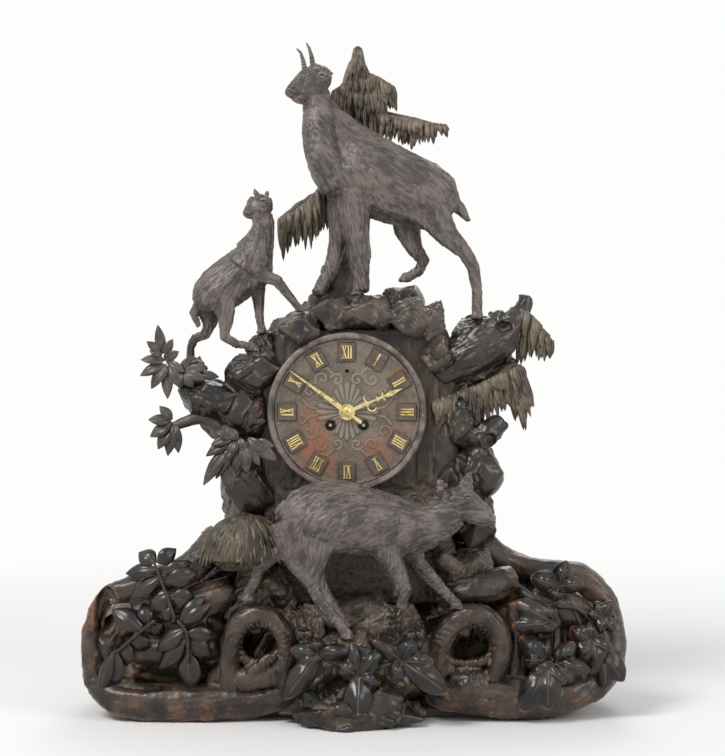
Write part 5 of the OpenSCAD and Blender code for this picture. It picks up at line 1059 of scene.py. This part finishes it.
spray_rows = (leaflets([(156, 563, 139, 551, 15), (157, 563, 177, 549, 14), (157, 569, 123, 572, 13),
                        (160, 576, 129, 597, 14), (162, 573, 193, 562, 13), (165, 582, 198, 573, 16),
                        (168, 592, 148, 610, 19), (170, 597, 197, 603, 19), (172, 606, 155, 618, 16)], -74)
              + leaflets([(149, 624, 144, 602, 15), (143, 630, 112, 608, 18), (136, 634, 142, 655, 17),
                          (127, 642, 124, 667, 13), (116, 652, 112, 690, 17), (113, 652, 96, 697, 13),
                          (151, 624, 163, 637, 13)], -72)
              + leaflets([(180, 621, 206, 596, 13), (183, 624, 212, 604, 12), (186, 634, 219, 638, 15),
                          (187, 643, 212, 656, 16), (186, 638, 156, 670, 16), (184, 629, 155, 650, 15),
                          (188, 652, 190, 692, 20)], -78))
leaf_piece("leaf_sprays", [
    twig([spot(153, 560, -73), spot(160, 578, -76), spot(168, 600, -79), spot(175, 620, -80)], 1.3, 2.2, 8),
    twig([spot(156, 620, -76), spot(140, 632, -76), spot(122, 648, -75), spot(109, 656, -73)], 2.2, 1.3, 8),
    twig([spot(177, 620, -78), spot(186, 632, -82), spot(188, 650, -83), spot(188, 664, -83)], 2.2, 1.5, 8),
    twig([spot(174, 620, -30), spot(174, 620, -60), spot(174, 620, -77)], 6, 3, 8),
    twig([(-170, -70, 102), (-190, -50, 100), (-205, -35, 98)], 5, 5, 8),
    set_elements(spray_rows, spray_blade, leaf_finish, 0.04, 77)], leaf_finish, "leaf_sprays_left")


# Ivy: broad leaves with swollen lobes over the foot rock and the right root, each cut from
# its own thin piece of linden, glued on, and rubbed orange at its tips.

def ivy_leaf(middle, lobes, y, puff=5.0):
    """One ivy leaf with swollen lobes and sunk veins, from rows of each lobe's tip in the picture, width and lift."""
    mid = np.array(middle, float)
    tips = np.array([(x - mid[0], mid[1] - z) for x, z, _, _ in lobes])
    wide = np.array([w for _, _, w, _ in lobes])
    fall = np.array([d for _, _, _, d in lobes])
    reach = np.linalg.norm(tips, axis=1)
    aim = np.arctan2(tips[:, 1], tips[:, 0])
    cols = 120
    turns = np.linspace(-np.pi, np.pi, cols, endpoint=False)
    off = (turns[:, None] - aim[None, :] + np.pi) % (2 * np.pi) - np.pi
    half = np.arctan2(wide / 2, reach * 0.55)
    shape = reach[None, :] * np.clip(1 - np.abs(off) / (half[None, :] * 1.9), 0, 1) ** 0.62
    edge_r = np.maximum(shape.max(1), reach.min() * 0.42)
    edge_r = np.roll(edge_r, 1) * 0.2 + edge_r * 0.6 + np.roll(edge_r, -1) * 0.2
    lobe_of = shape.argmax(1)
    rho = np.linspace(0, 1, 15)[1:]
    r = rho[:, None] * edge_r[None, :]
    x, z = r * np.cos(turns), r * np.sin(turns)
    swell = np.zeros_like(x)
    sink = np.zeros_like(x)
    for k in range(len(lobes)):
        along = (x * np.cos(aim[k]) + z * np.sin(aim[k])) / reach[k]
        across = (-x * np.sin(aim[k]) + z * np.cos(aim[k])) / (wide[k] / 2)
        inside = np.exp(-((along - 0.5) / 0.36) ** 2 - (across / 0.85) ** 2)
        swell = np.maximum(swell, 1.7 * puff * wide[k] / 20 * inside)
        sink = np.maximum(sink, np.exp(-(across * wide[k] / 2 / 0.65) ** 2) * (along > 0) * (along < 0.9))
        swell = swell + fall[k] * np.clip(along, 0, 1.2) ** 2 * np.exp(-(across / 1.6) ** 2)
    d = y - swell + 0.8 * sink + 1.6 * step(rho[:, None] + 0 * x, 0.8, 1.0)
    top = np.stack(spot(mid[0] + x, mid[1] - z, d), 2)
    centre = spot(mid[0], mid[1], y + 0.6)
    rows = len(rho)
    grid = np.concatenate([top.reshape(-1, 3), centre[None]])
    under = grid + (0, 2.2, 0)
    idx = np.arange(rows * cols).reshape(rows, cols)
    nxt = np.roll(idx, -1, 1)
    faces = [tuple(q) for q in np.stack([idx[:-1], idx[1:], nxt[1:], nxt[:-1]], 2).reshape(-1, 4).tolist()]
    faces += [(rows * cols, idx[0, c], nxt[0, c]) for c in range(cols)]
    n = len(grid)
    faces = faces + [tuple(n + i for i in f[::-1]) for f in faces]
    faces += [(idx[-1, c], n + idx[-1, c], n + nxt[-1, c], nxt[-1, c]) for c in range(cols)]
    rim = step(rho[:, None] + 0 * x, 0.86, 1.0) * (0.35 + 0.65 * step(r / reach[lobe_of][None, :], 0.75, 1.0))
    rub = np.concatenate([rim.ravel(), [0.0]])
    dust = np.concatenate([(0.75 * sink).ravel(), [0.8]])
    faces = [f[::-1] for f in faces]
    return np.concatenate([grid, under]), faces, np.tile(rub, 2), np.concatenate([dust, dust * 0.3])


leaf_piece("ivy_on_front", [
    ivy_leaf((318, 654), [(285, 700, 24, 3), (300, 668, 22, 0), (313, 636, 22, -2), (352, 651, 17, 4),
                          (290, 650, 20, 2)], -109),
    ivy_leaf((358, 676), [(358, 731, 32, 1), (336, 662, 22, 0), (352, 642, 18, 3), (384, 648, 20, -1),
                          (381, 684, 20, 0)], -110),
    ivy_leaf((403, 661), [(449, 694, 26, 2), (414, 634, 26, -2), (372, 640, 16, 4), (392, 682, 22, 1),
                          (434, 662, 20, 1)], -109),
    ivy_leaf((305, 640), [(296, 630, 14, 0), (312, 629, 14, 0), (303, 652, 14, 0)], -108, 4),
    ivy_leaf((416, 640), [(405, 632, 15, 0), (424, 630, 15, 0), (420, 651, 15, 0)], -108, 4),
    twig([spot(300, 632, -100), spot(318, 654, -106), spot(358, 668, -108), spot(403, 660, -106),
          spot(418, 636, -100)], 3, 3, 8)], leaf_finish, "ivy_front")
leaf_piece("ivy_on_side", [
    ivy_leaf((559, 586), [(530, 577, 24, 0), (567, 560, 22, 0), (553, 602, 20, 1), (584, 583, 20, 1)], -66),
    ivy_leaf((603, 617), [(596, 601, 16, 0), (612, 600, 16, 0), (586, 612, 14, 0), (616, 632, 14, 2),
                          (600, 634, 14, 1)], -66, 4),
    ivy_leaf((554, 622), [(514, 602, 24, 0), (511, 626, 20, 4), (541, 634, 18, 2), (548, 604, 18, 0)], -76),
    ivy_leaf((545, 660), [(520, 636, 24, -3), (522, 660, 24, -1), (548, 640, 14, 1)], -80, 6),
    ivy_leaf((548, 668), [(521, 713, 28, 0), (548, 711, 26, 1), (566, 684, 16, 1), (530, 676, 20, 0)], -84),
    ivy_leaf((556, 662), [(575, 642, 20, 0), (591, 671, 18, 4), (572, 682, 20, 0), (560, 648, 14, 0)], -78, 6),
    ivy_leaf((592, 640), [(570, 628, 24, 0), (600, 672, 22, 1), (578, 662, 26, 0), (612, 652, 16, 2),
                          (590, 622, 16, 0)], -68, 4),
    ivy_leaf((604, 652), [(624, 682, 22, 3), (606, 690, 18, 2), (590, 676, 16, 0)], -66, 4),
    twig([spot(497, 575, -30), spot(520, 590, -52), spot(549, 612, -68), spot(557, 640, -72), spot(548, 668, -80)],
         6, 3, 10, 0.5, 94),
    twig([spot(556, 606, -66), spot(580, 610, -64), spot(602, 634, -60)], 3, 2.4, 8),
    twig([spot(571, 603, -62), spot(590, 640, -66), spot(622, 664, -58)], 1.8, 1.6, 8)], leaf_finish, "ivy_right")


# Grass tuft: a dome of linden on its boulder, cut all over with long strokes that fall from
# its top, with loose ends round its hem. It is dull and dusty like the ground.

rings, sides = 64, 220
t, a = np.meshgrid(np.linspace(0.03, 1.62, rings), np.linspace(0, 2 * np.pi, sides, endpoint=False), indexing="ij")
middle = np.array([-107.0, -64.0, 162.0])
around = np.stack([43 * np.sin(t) * np.cos(a), 30 * np.sin(t) * np.sin(a), 43 * np.cos(t)], 2).reshape(-1, 3)
fall = np.stack([43 * np.cos(t) * np.cos(a), 30 * np.cos(t) * np.sin(a), -43 * np.sin(t)], 2).reshape(-1, 3)
fall /= np.linalg.norm(fall, axis=1)[:, None]
cut = 1.5 * strokes(around, fall, 4.2, 30, 97) + 1.1 * strokes(around, fall, 2.1, 20, 98)
dome, faces = surface_part((middle + around * (1 + cut / 44)[:, None]).reshape(rings, sides, 3), True)
faces += end_caps(rings, sides)
grass_rows = []
rng = np.random.default_rng(95)
for k in range(130):
    b = rng.uniform(0, 2 * np.pi)
    u = rng.uniform(0.5, 1.45)
    base = middle + (42 * math.sin(u) * math.cos(b), 29 * math.sin(u) * math.sin(b), 42 * math.cos(u))
    tip = middle + (46 * math.sin(u + 0.3) * math.cos(b), 32 * math.sin(u + 0.3) * math.sin(b),
                    43 * math.cos(u + 0.3) - 2)
    grass_rows.append((base, tip, (math.cos(b), math.sin(b), 0.8), rng.uniform(1.8, 3.0), 2.6))
dome = (dome, [f[::-1] for f in faces], np.clip(cut / 5, 0, 1), np.clip(-cut / 2.2, 0, 1))
loose_ends = set_elements(grass_rows, needle_strand, ground_finish, 0.1, 96)
finish_piece("grass_tuft", mesh_of("grass_tuft", [dome, loose_ends]), ground_finish)

for held in (needle_strand, oak_blade, spray_blade):
    bpy.data.objects.remove(held)


# Trunk block: one block of linden behind the dial with the round hole for the movement. Its
# outside has long gouge cuts and is stained black; the hole and the back are left smooth.

dial_x, dial_z, dial_y = -6.5, 305.0, -48.0   # mm, the dial's middle and its front

# Bark of the trunk: black brown and matt, with hardly any dust
bark_finish = stained_linden("stained_linden_bark", "#1b1511", "#43362b", "#6f614f", "#6a3f28",
                             gloss=0.42, dusty=0.6, rubbed=-0.3, pore=0.6)


def bark_relief(p, n):
    """Upright grooves that lean with the trunk."""
    leans = [[0, -40, 120, 0.2, 0, 1], [-90, -30, 200, 0.1, 0, 1], [90, -30, 200, -0.1, 0, 1], [0, 60, 250, 0, 0, 1]]
    flow = flow_from(p, leans, 60)
    return 1.4 * strokes(p, flow, 5.5, 34, 21) + 0.5 * strokes(p, flow, 2.2, 14, 22) + 0.5 * patches(p, 14, 23)


def trunk_relief(p, n):
    """Bark outside with moss low down, faint saw lines on the back, and nothing cut in the hole for the movement."""
    off = np.hypot(p[:, 0] - dial_x, p[:, 2] - dial_z)
    slot = (np.abs(p[:, 0] - dial_x) < 33) & (p[:, 2] < dial_z) & (p[:, 1] > 20) & (p[:, 2] > 118)
    seat = (off < 80) & (p[:, 1] < -38)
    saw = 0.12 * np.sin(p[:, 2] * 1.7 + 2 * patches(p, 30, 101))
    mossy = step(p[:, 2] + 16 * patches(p, 20, 102), 250, 225)
    bark = (1 - mossy) * bark_relief(p, n) + 1.2 * mossy * scribble(p, 103)
    return np.where((off < 60) | slot | seat, 0.0, np.where(p[:, 1] > 92, saw, bark))


carve("trunk_block", "trunk", 1.9, trunk_relief, bark_finish, rounds=5, grow=0.0, parts=[
    root([(436, 328, -30, 10), (444, 366, -28, 14), (446, 410, -26, 16), (445, 450, -28, 16), (440, 490, -30, 15),
          (436, 530, -34, 14), (446, 560, -40, 13)]),
    root([(282, 330, -30, 9), (270, 366, -22, 11), (266, 412, -20, 11), (268, 452, -22, 12), (278, 488, -30, 13),
          (284, 530, -32, 14), (282, 560, -36, 14)]),
    root([(310, 494, -30, 12), (330, 510, -34, 15), (360, 520, -34, 16), (400, 512, -34, 15), (424, 498, -32, 12)])])


# Dial: a disc of linden with a stippled ground, with four shells and pairs of scrolls cut in
# low relief, stained dark, dusty, and worn to orange brown in places. It is let into the trunk.

dial_radius, dial_back, dial_pitch, plaque_ring = 72.8, -40.05, 0.52, 60   # mm


def spiral(x, z, r, start, turns):
    """A scroll as a line in the dial's plane: it opens from its eye as it turns."""
    return [[x + (r * 0.15 + r * t) * math.cos(start + turns * 2 * math.pi * t), 0,
             z + (r * 0.15 + r * t) * math.sin(start + turns * 2 * math.pi * t)] for t in np.linspace(0, 1, 26)]


def scrolls_and_shells(flat):
    """How far the carving stands above the dial's ground, and the painted shade in the cuts beside it."""
    raised = np.zeros(len(flat))
    ink = np.zeros(len(flat))
    for side in (-1, 1):
        for up in (-1, 1):
            lines = [spiral(side * 22, up * 9, 6.5, 0 if side < 0 else math.pi, side * up * 1.35),
                     spiral(side * 10, up * 32, 6, math.pi / 2 * up, side * up * -1.2),
                     spiral(side * 37, up * 20, 7.0, 0, side * up * 1.1),
                     spiral(side * 25, up * 33, 6.5, math.pi, side * up * -1.1),
                     [[side * 29, 0, up * 3], [side * 38, 0, up * 5], [side * 44, 0, up * 12]],
                     [[side * 14, 0, up * 38], [side * 20, 0, up * 44], [side * 28, 0, up * 42]]]
            for curve in lines:
                near = line_distance(flat, curve)
                raised = np.maximum(raised, 0.5 * np.clip(1.3 - (near / 1.2) ** 2, 0, 1))
                # Painted shade in the cut beside each raised line
                ink = np.maximum(ink, 0.45 * np.exp(-((near - 1.7) / 0.5) ** 2))
    for ax, az, long in ((0, 1, 29), (0, -1, 27), (1, 0, 30), (-1, 0, 30)):
        ahead, across = flat[:, 0] * ax + flat[:, 2] * az + 2, flat[:, 0] * az - flat[:, 2] * ax
        fan, reach = np.arctan2(across, ahead), np.hypot(across, ahead)
        rim = (long + 2) * (1 - 0.42 * (fan / 0.8) ** 2) * (1 + 0.045 * np.cos(27 * fan))
        inside = step(rim - reach, -0.5, 0.5) * step(0.86 - np.abs(fan), 0, 0.05)
        flute = 0.5 + 0.5 * np.cos(27 * fan)
        raised = np.maximum(raised, inside * (0.4 + 0.6 * flute * step(reach, 2, 9)))
        # Painted shade in the valleys between the flutes and round the rim of each shell
        ink = np.where(inside > 0.5, 0.85 * (1 - flute) ** 3 * step(reach, 4, 9), ink)
        ink = np.maximum(ink, 0.7 * np.exp(-((rim - reach + 0.6) / 0.6) ** 2) * (np.abs(fan) < 0.86))
    return raised, ink


def dial_surface():
    """The carved front of the dial with its holes, its rim and its back, its wear and dust, a painted highlight on its
    raised carving and painted shade in its cuts.
    """
    count = int(2 * dial_radius / dial_pitch) + 1
    line = np.linspace(-dial_radius, dial_radius, count)
    x, z = np.meshgrid(line, line, indexing="ij")
    flat = np.stack([x.ravel(), 0 * x.ravel(), z.ravel()], 1)
    off = np.hypot(flat[:, 0], flat[:, 2])
    stipple = gouge_cells(flat, 1.9, 110)[0]   # drawn coarser than the real punch marks
    ground = 0.34 * (0.6 - stipple) + 0.16 * patches(flat, 0.9, 111) + 0.2 * patches(flat, 5, 112)
    raised, ink = scrolls_and_shells(flat)
    raised *= step(off, 6.5, 8.0)
    uneven = 0.6 + 0.4 * patches(flat, 14, 116)
    # Painted shade in the pits of the stippled ground
    ink = np.maximum(ink, 0.75 * step(stipple, 0.62, 0.95) * (raised < 0.2) * uneven)

    # Painted shade in the seams round the twelve plaques, then the ring that they sit on and the raised rim
    for k in range(12):
        s, c = math.sin(math.radians(30 * k)), math.cos(math.radians(30 * k))
        ahead, across = flat[:, 0] * s + flat[:, 2] * c - plaque_ring, flat[:, 0] * c - flat[:, 2] * s
        beside = np.maximum(np.abs(ahead) - 9, np.abs(across) - 8)
        ink = np.maximum(ink, 0.8 * np.exp(-((beside - 0.7) / 0.6) ** 2))
    rim_line = np.exp(-((off - 70.6) / 0.8) ** 2) * 0.5 + step(off, 71.2, 71.8) * 0.5
    seat = step(off, 50.0, 50.6) * (1 - step(off, 69.6, 70.2)) * 0.35
    rise = ground * (1 - 0.75 * np.clip(raised, 0, 1)) * (1 - seat) + 0.95 * raised + rim_line + 0.12 * seat

    # Holes for the hands, for both winding keys and for the regulator
    holes = np.zeros(len(flat))
    for hx, hz, hr in ((0, 0, 4.3), (-16.6, -13.2, 5.3), (16.6, -13.2, 5.3), (0, 41, 1.7)):
        d = np.hypot(flat[:, 0] - hx, flat[:, 2] - hz)
        holes = np.maximum(holes, (d < hr).astype(float))
        rise = np.where((d >= hr) & (d < hr + 1.6), 0.1, rise)
    rise = np.where((off < 5.6) & (holes < 0.5), 0.0, rise)
    y = dial_y - np.clip(rise, -0.4, 1.7) + 7.0 * holes

    # The squares of the grid that lie inside the round edge
    keep = (off < dial_radius).reshape(x.shape)
    idx = np.arange(count * count).reshape(count, count)
    full = keep[:-1, :-1] & keep[1:, :-1] & keep[1:, 1:] & keep[:-1, 1:]
    quads = np.stack([idx[:-1, :-1], idx[1:, :-1], idx[1:, 1:], idx[:-1, 1:]], 2)[full]
    used = np.unique(quads)
    quads = np.searchsorted(used, quads)
    front = np.stack([dial_x + flat[used, 0], y[used], dial_z + flat[used, 2]], 1)
    n = len(front)

    # A wall from the open border to the back, and one face over the back
    sides = np.concatenate([quads[:, [k, (k + 1) % 4]] for k in range(4)])
    there, back_again = sides[:, 0] * n + sides[:, 1], sides[:, 1] * n + sides[:, 0]
    border = sides[~np.isin(there, back_again)]
    rim = np.unique(border)
    place = np.full(n, -1)
    place[rim] = n + np.arange(len(rim))
    faces = [tuple(q) for q in quads.tolist()]
    faces += [(int(b), int(a), int(place[a]), int(place[b])) for a, b in border]
    turn = np.arctan2(front[rim, 2] - dial_z, front[rim, 0] - dial_x)
    faces.append(tuple(int(place[i]) for i in rim[np.argsort(turn)][::-1]))
    rear = front[rim]
    rear[:, 1] = dial_back

    # Orange brown patches where hands have rubbed: place on the dial, radius and strength
    u, v = front[:, 0] - dial_x, front[:, 2] - dial_z
    orange = np.zeros(n)
    for cu, cv, r, much in ((-44, -10, 26, 0.62), (-30, -44, 28, 0.74), (30, -48, 24, 0.62), (54, 6, 18, 0.6),
                            (-54, 28, 13, 0.66), (52, 40, 13, 0.62), (44, -22, 18, 0.5), (2, -44, 20, 0.42),
                            (-24, 34, 12, 0.3)):
        orange = np.maximum(orange, much * np.exp(-((u - cu) ** 2 + (v - cv) ** 2) / r ** 2))
    rub = np.clip(orange * (0.86 + 0.3 * patches(front, 5, 113) + 0.2 * patches(front, 1.6, 114)), 0, 1)
    # The pale dust colour is laid more on the raised carving and high ground than in the cuts: painted highlight on the
    # relief, less where rubbed
    dust = np.clip(0.35 + 0.4 * raised[used] + 0.5 * rise[used], 0, 1) * (1 - 0.6 * orange)
    none = np.zeros(len(rim))
    part = (np.concatenate([front, rear]), faces, np.concatenate([rub, none]), np.concatenate([dust, none]))
    return part, np.concatenate([0.74 * np.clip(ink[used], 0, 1), none])


# Dial: paler brown and dusty, with painted shade black in its cuts, painted highlight on its raised carving and orange
# brown where it is rubbed
dial_finish = stained_linden("stained_linden_dial", "#594d43", "#776a5e", "#978b7d", "#8a5a40",
                             gloss=0.38, dusty=0.7, rubbed=0.36, pore=0.3)
dial_part, dial_painted_shade = dial_surface()
dial_mesh = mesh_of("carved_dial", [dial_part], False)
# Painted shade for the dial's cuts, pits and plaque seams
write_field(dial_mesh, "ink", dial_painted_shade)
finish_piece("carved_dial", dial_mesh, dial_finish, ["dial_disc"])


# Bezel, plaques and rear door: turned and sawn linden, glued on the dial or hung on brass
# hinges behind. Their solids have the right shape and only get their finish here.

def handled_linden(name, dark, light, worn, gloss):
    """Stained linden polished by hands: long uneven stain, small dents and pale rubbed places."""
    made = bpy.data.materials.new(name)
    tree = empty_tree(made)
    place = put(tree, "ShaderNodeTexCoord").outputs["Object"]
    uneven = ramp(tree, mottle(tree, place, 22, 6.0, 0.65), 0.38, 0.62)
    rubs = mottle(tree, place, 9, 5.0, 0.7, Distortion=0.6)
    body = blend(tree, uneven, srgb(dark), srgb(light))
    body = blend(tree, ramp(tree, rubs, 0.55, 0.72, To_Max=0.55), body, srgb(worn))
    dents = put(tree, "ShaderNodeBump", Height=mottle(tree, place, 2.4, 3.0, 0.6), Strength=0.35, Distance=0.0005)
    rough = ramp(tree, rubs, 0.3, 0.7, False, To_Min=gloss, To_Max=gloss + 0.3)
    shader = put(tree, "ShaderNodeBsdfPrincipled", Base_Color=body, Roughness=rough, Normal=dents.outputs["Normal"],
                 Coat_Weight=0.1, Coat_Roughness=0.3)
    put(tree, "ShaderNodeOutputMaterial", Surface=shader.outputs["BSDF"])
    return made


def give(material, *nodes):
    """A finish for the solids whose shape stays as it is."""
    for node in nodes:
        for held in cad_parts[node].material_slots:
            held.material = material


# Bezel: the palest wood of the clock, grey brown with a soft sheen
give(handled_linden("waxed_linden_bezel", "#4c423d", "#857a72", "#a1968d", 0.36), "dial_bezel")
# Plaques: darker than the dial's ground, so that the brass numerals stand out
give(handled_linden("waxed_linden_plaque", "#4a3f37", "#5d5148", "#857769", 0.42), "numeral_plaques")
# Rear door and its button: plain brown board, nearly matt
give(handled_linden("dark_stained_board", "#33281f", "#4a3b2f", "#6d5a47", 0.6), "rear_door", "door_button")


# Hands, numerals and movement: cast and sawn brass that has gone dull in the low places,
# polished steel arbors, a turned bell and bushes that are blackened.

def old_metal(name, bright, dull, gloss, grain=1.6, turned_about=None, brushed=0.0):
    """Metal with a thin brown skin: clean where it was wiped, dull between, with fine filing or turning marks."""
    made = bpy.data.materials.new(name)
    tree = empty_tree(made)
    place = put(tree, "ShaderNodeTexCoord").outputs["Object"]
    skin = mottle(tree, place, 6, 5.0, 0.65)
    body = blend(tree, ramp(tree, skin, 0.42, 0.7), srgb(bright), srgb(dull))
    if turned_about:
        seen = put(tree, "ShaderNodeMapping", {"vector_type": "POINT"}, Vector=place,
                   Location=(-turned_about[0] / 1000, 0, -turned_about[1] / 1000), Scale=(1, 0, 1)).outputs["Vector"]
        # Rings 0.8 mm apart: the real turning marks are finer than a pixel
        marks = put(tree, "ShaderNodeTexWave", {"wave_type": "RINGS", "rings_direction": "SPHERICAL"}, Vector=seen,
                    Scale=1000 / (20 * 0.8), Distortion=0.6, Detail=2.0).outputs["Fac"]
    else:
        seen = put(tree, "ShaderNodeMapping", Vector=place, Rotation=(0.3, 0.4, 0.8), Scale=(1, 1, 9)).outputs["Vector"]
        marks = mottle(tree, seen, grain * 4, 3.0, 0.6)
    rough = ramp(tree, skin, 0.35, 0.7, False, To_Min=gloss, To_Max=gloss + 0.3)
    bump = put(tree, "ShaderNodeBump", Height=marks, Strength=0.18 + brushed, Distance=0.0003)
    shader = put(tree, "ShaderNodeBsdfPrincipled", Base_Color=body, Metallic=1.0, Roughness=rough,
                 Normal=bump.outputs["Normal"])
    put(tree, "ShaderNodeOutputMaterial", Surface=shader.outputs["BSDF"])
    return made


# Numerals: pale yellow and fairly bright. Hands: a little brighter, wiped clean
give(old_metal("cast_brass_numeral", "#dcca8e", "#8a7444", 0.38), "numerals")
give(old_metal("sawn_brass_hand", "#e2d096", "#a08a52", 0.32), "minute_hand", "hour_hand", "hand_nut")
# Plates: deep yellow under lacquer. Wheels: brighter, with their cut faces clean
give(old_metal("lacquered_brass_plate", "#cfb25f", "#8f7434", 0.3, 1.2, brushed=0.1),
     "front_plate", "back_plate", "movement_straps", "suspension_cock", "door_hinge")
give(old_metal("cut_brass_wheel", "#d6ba68", "#96793a", 0.28, 1.0),
     "cannon_pinion", "minute_wheel", "hour_wheel", "going_intermediate", "centre_wheel", "third_wheel",
     "escape_wheel", "strike_intermediate", "pin_wheel", "warning_wheel", "fly", "going_barrel", "strike_barrel")
# Bell: reddish yellow with turned rings. Bob: spun brass with a duller skin
give(old_metal("turned_bell_metal", "#c2a562", "#7e6838", 0.3, 1.0, (dial_x, dial_z)), "bell")
give(old_metal("spun_brass_bob", "#cdb062", "#8a7036", 0.3, 1.4), "pendulum")
# Steel: cool grey and bright. Iron dowel: rusty and rough. Bushes: almost black
give(old_metal("polished_steel_arbor", "#a9adb1", "#6e6e6c", 0.3, 1.0),
     "going_arbor", "strike_arbor", "anchor", "hammer", "going_click", "strike_click")
give(old_metal("rusty_iron_dowel", "#8d8782", "#5c4336", 0.5, 0.9), "leg_dowel")
give(old_metal("blackened_brass_bush", "#3a3632", "#211e1c", 0.4, 0.9), "winding_bushes")
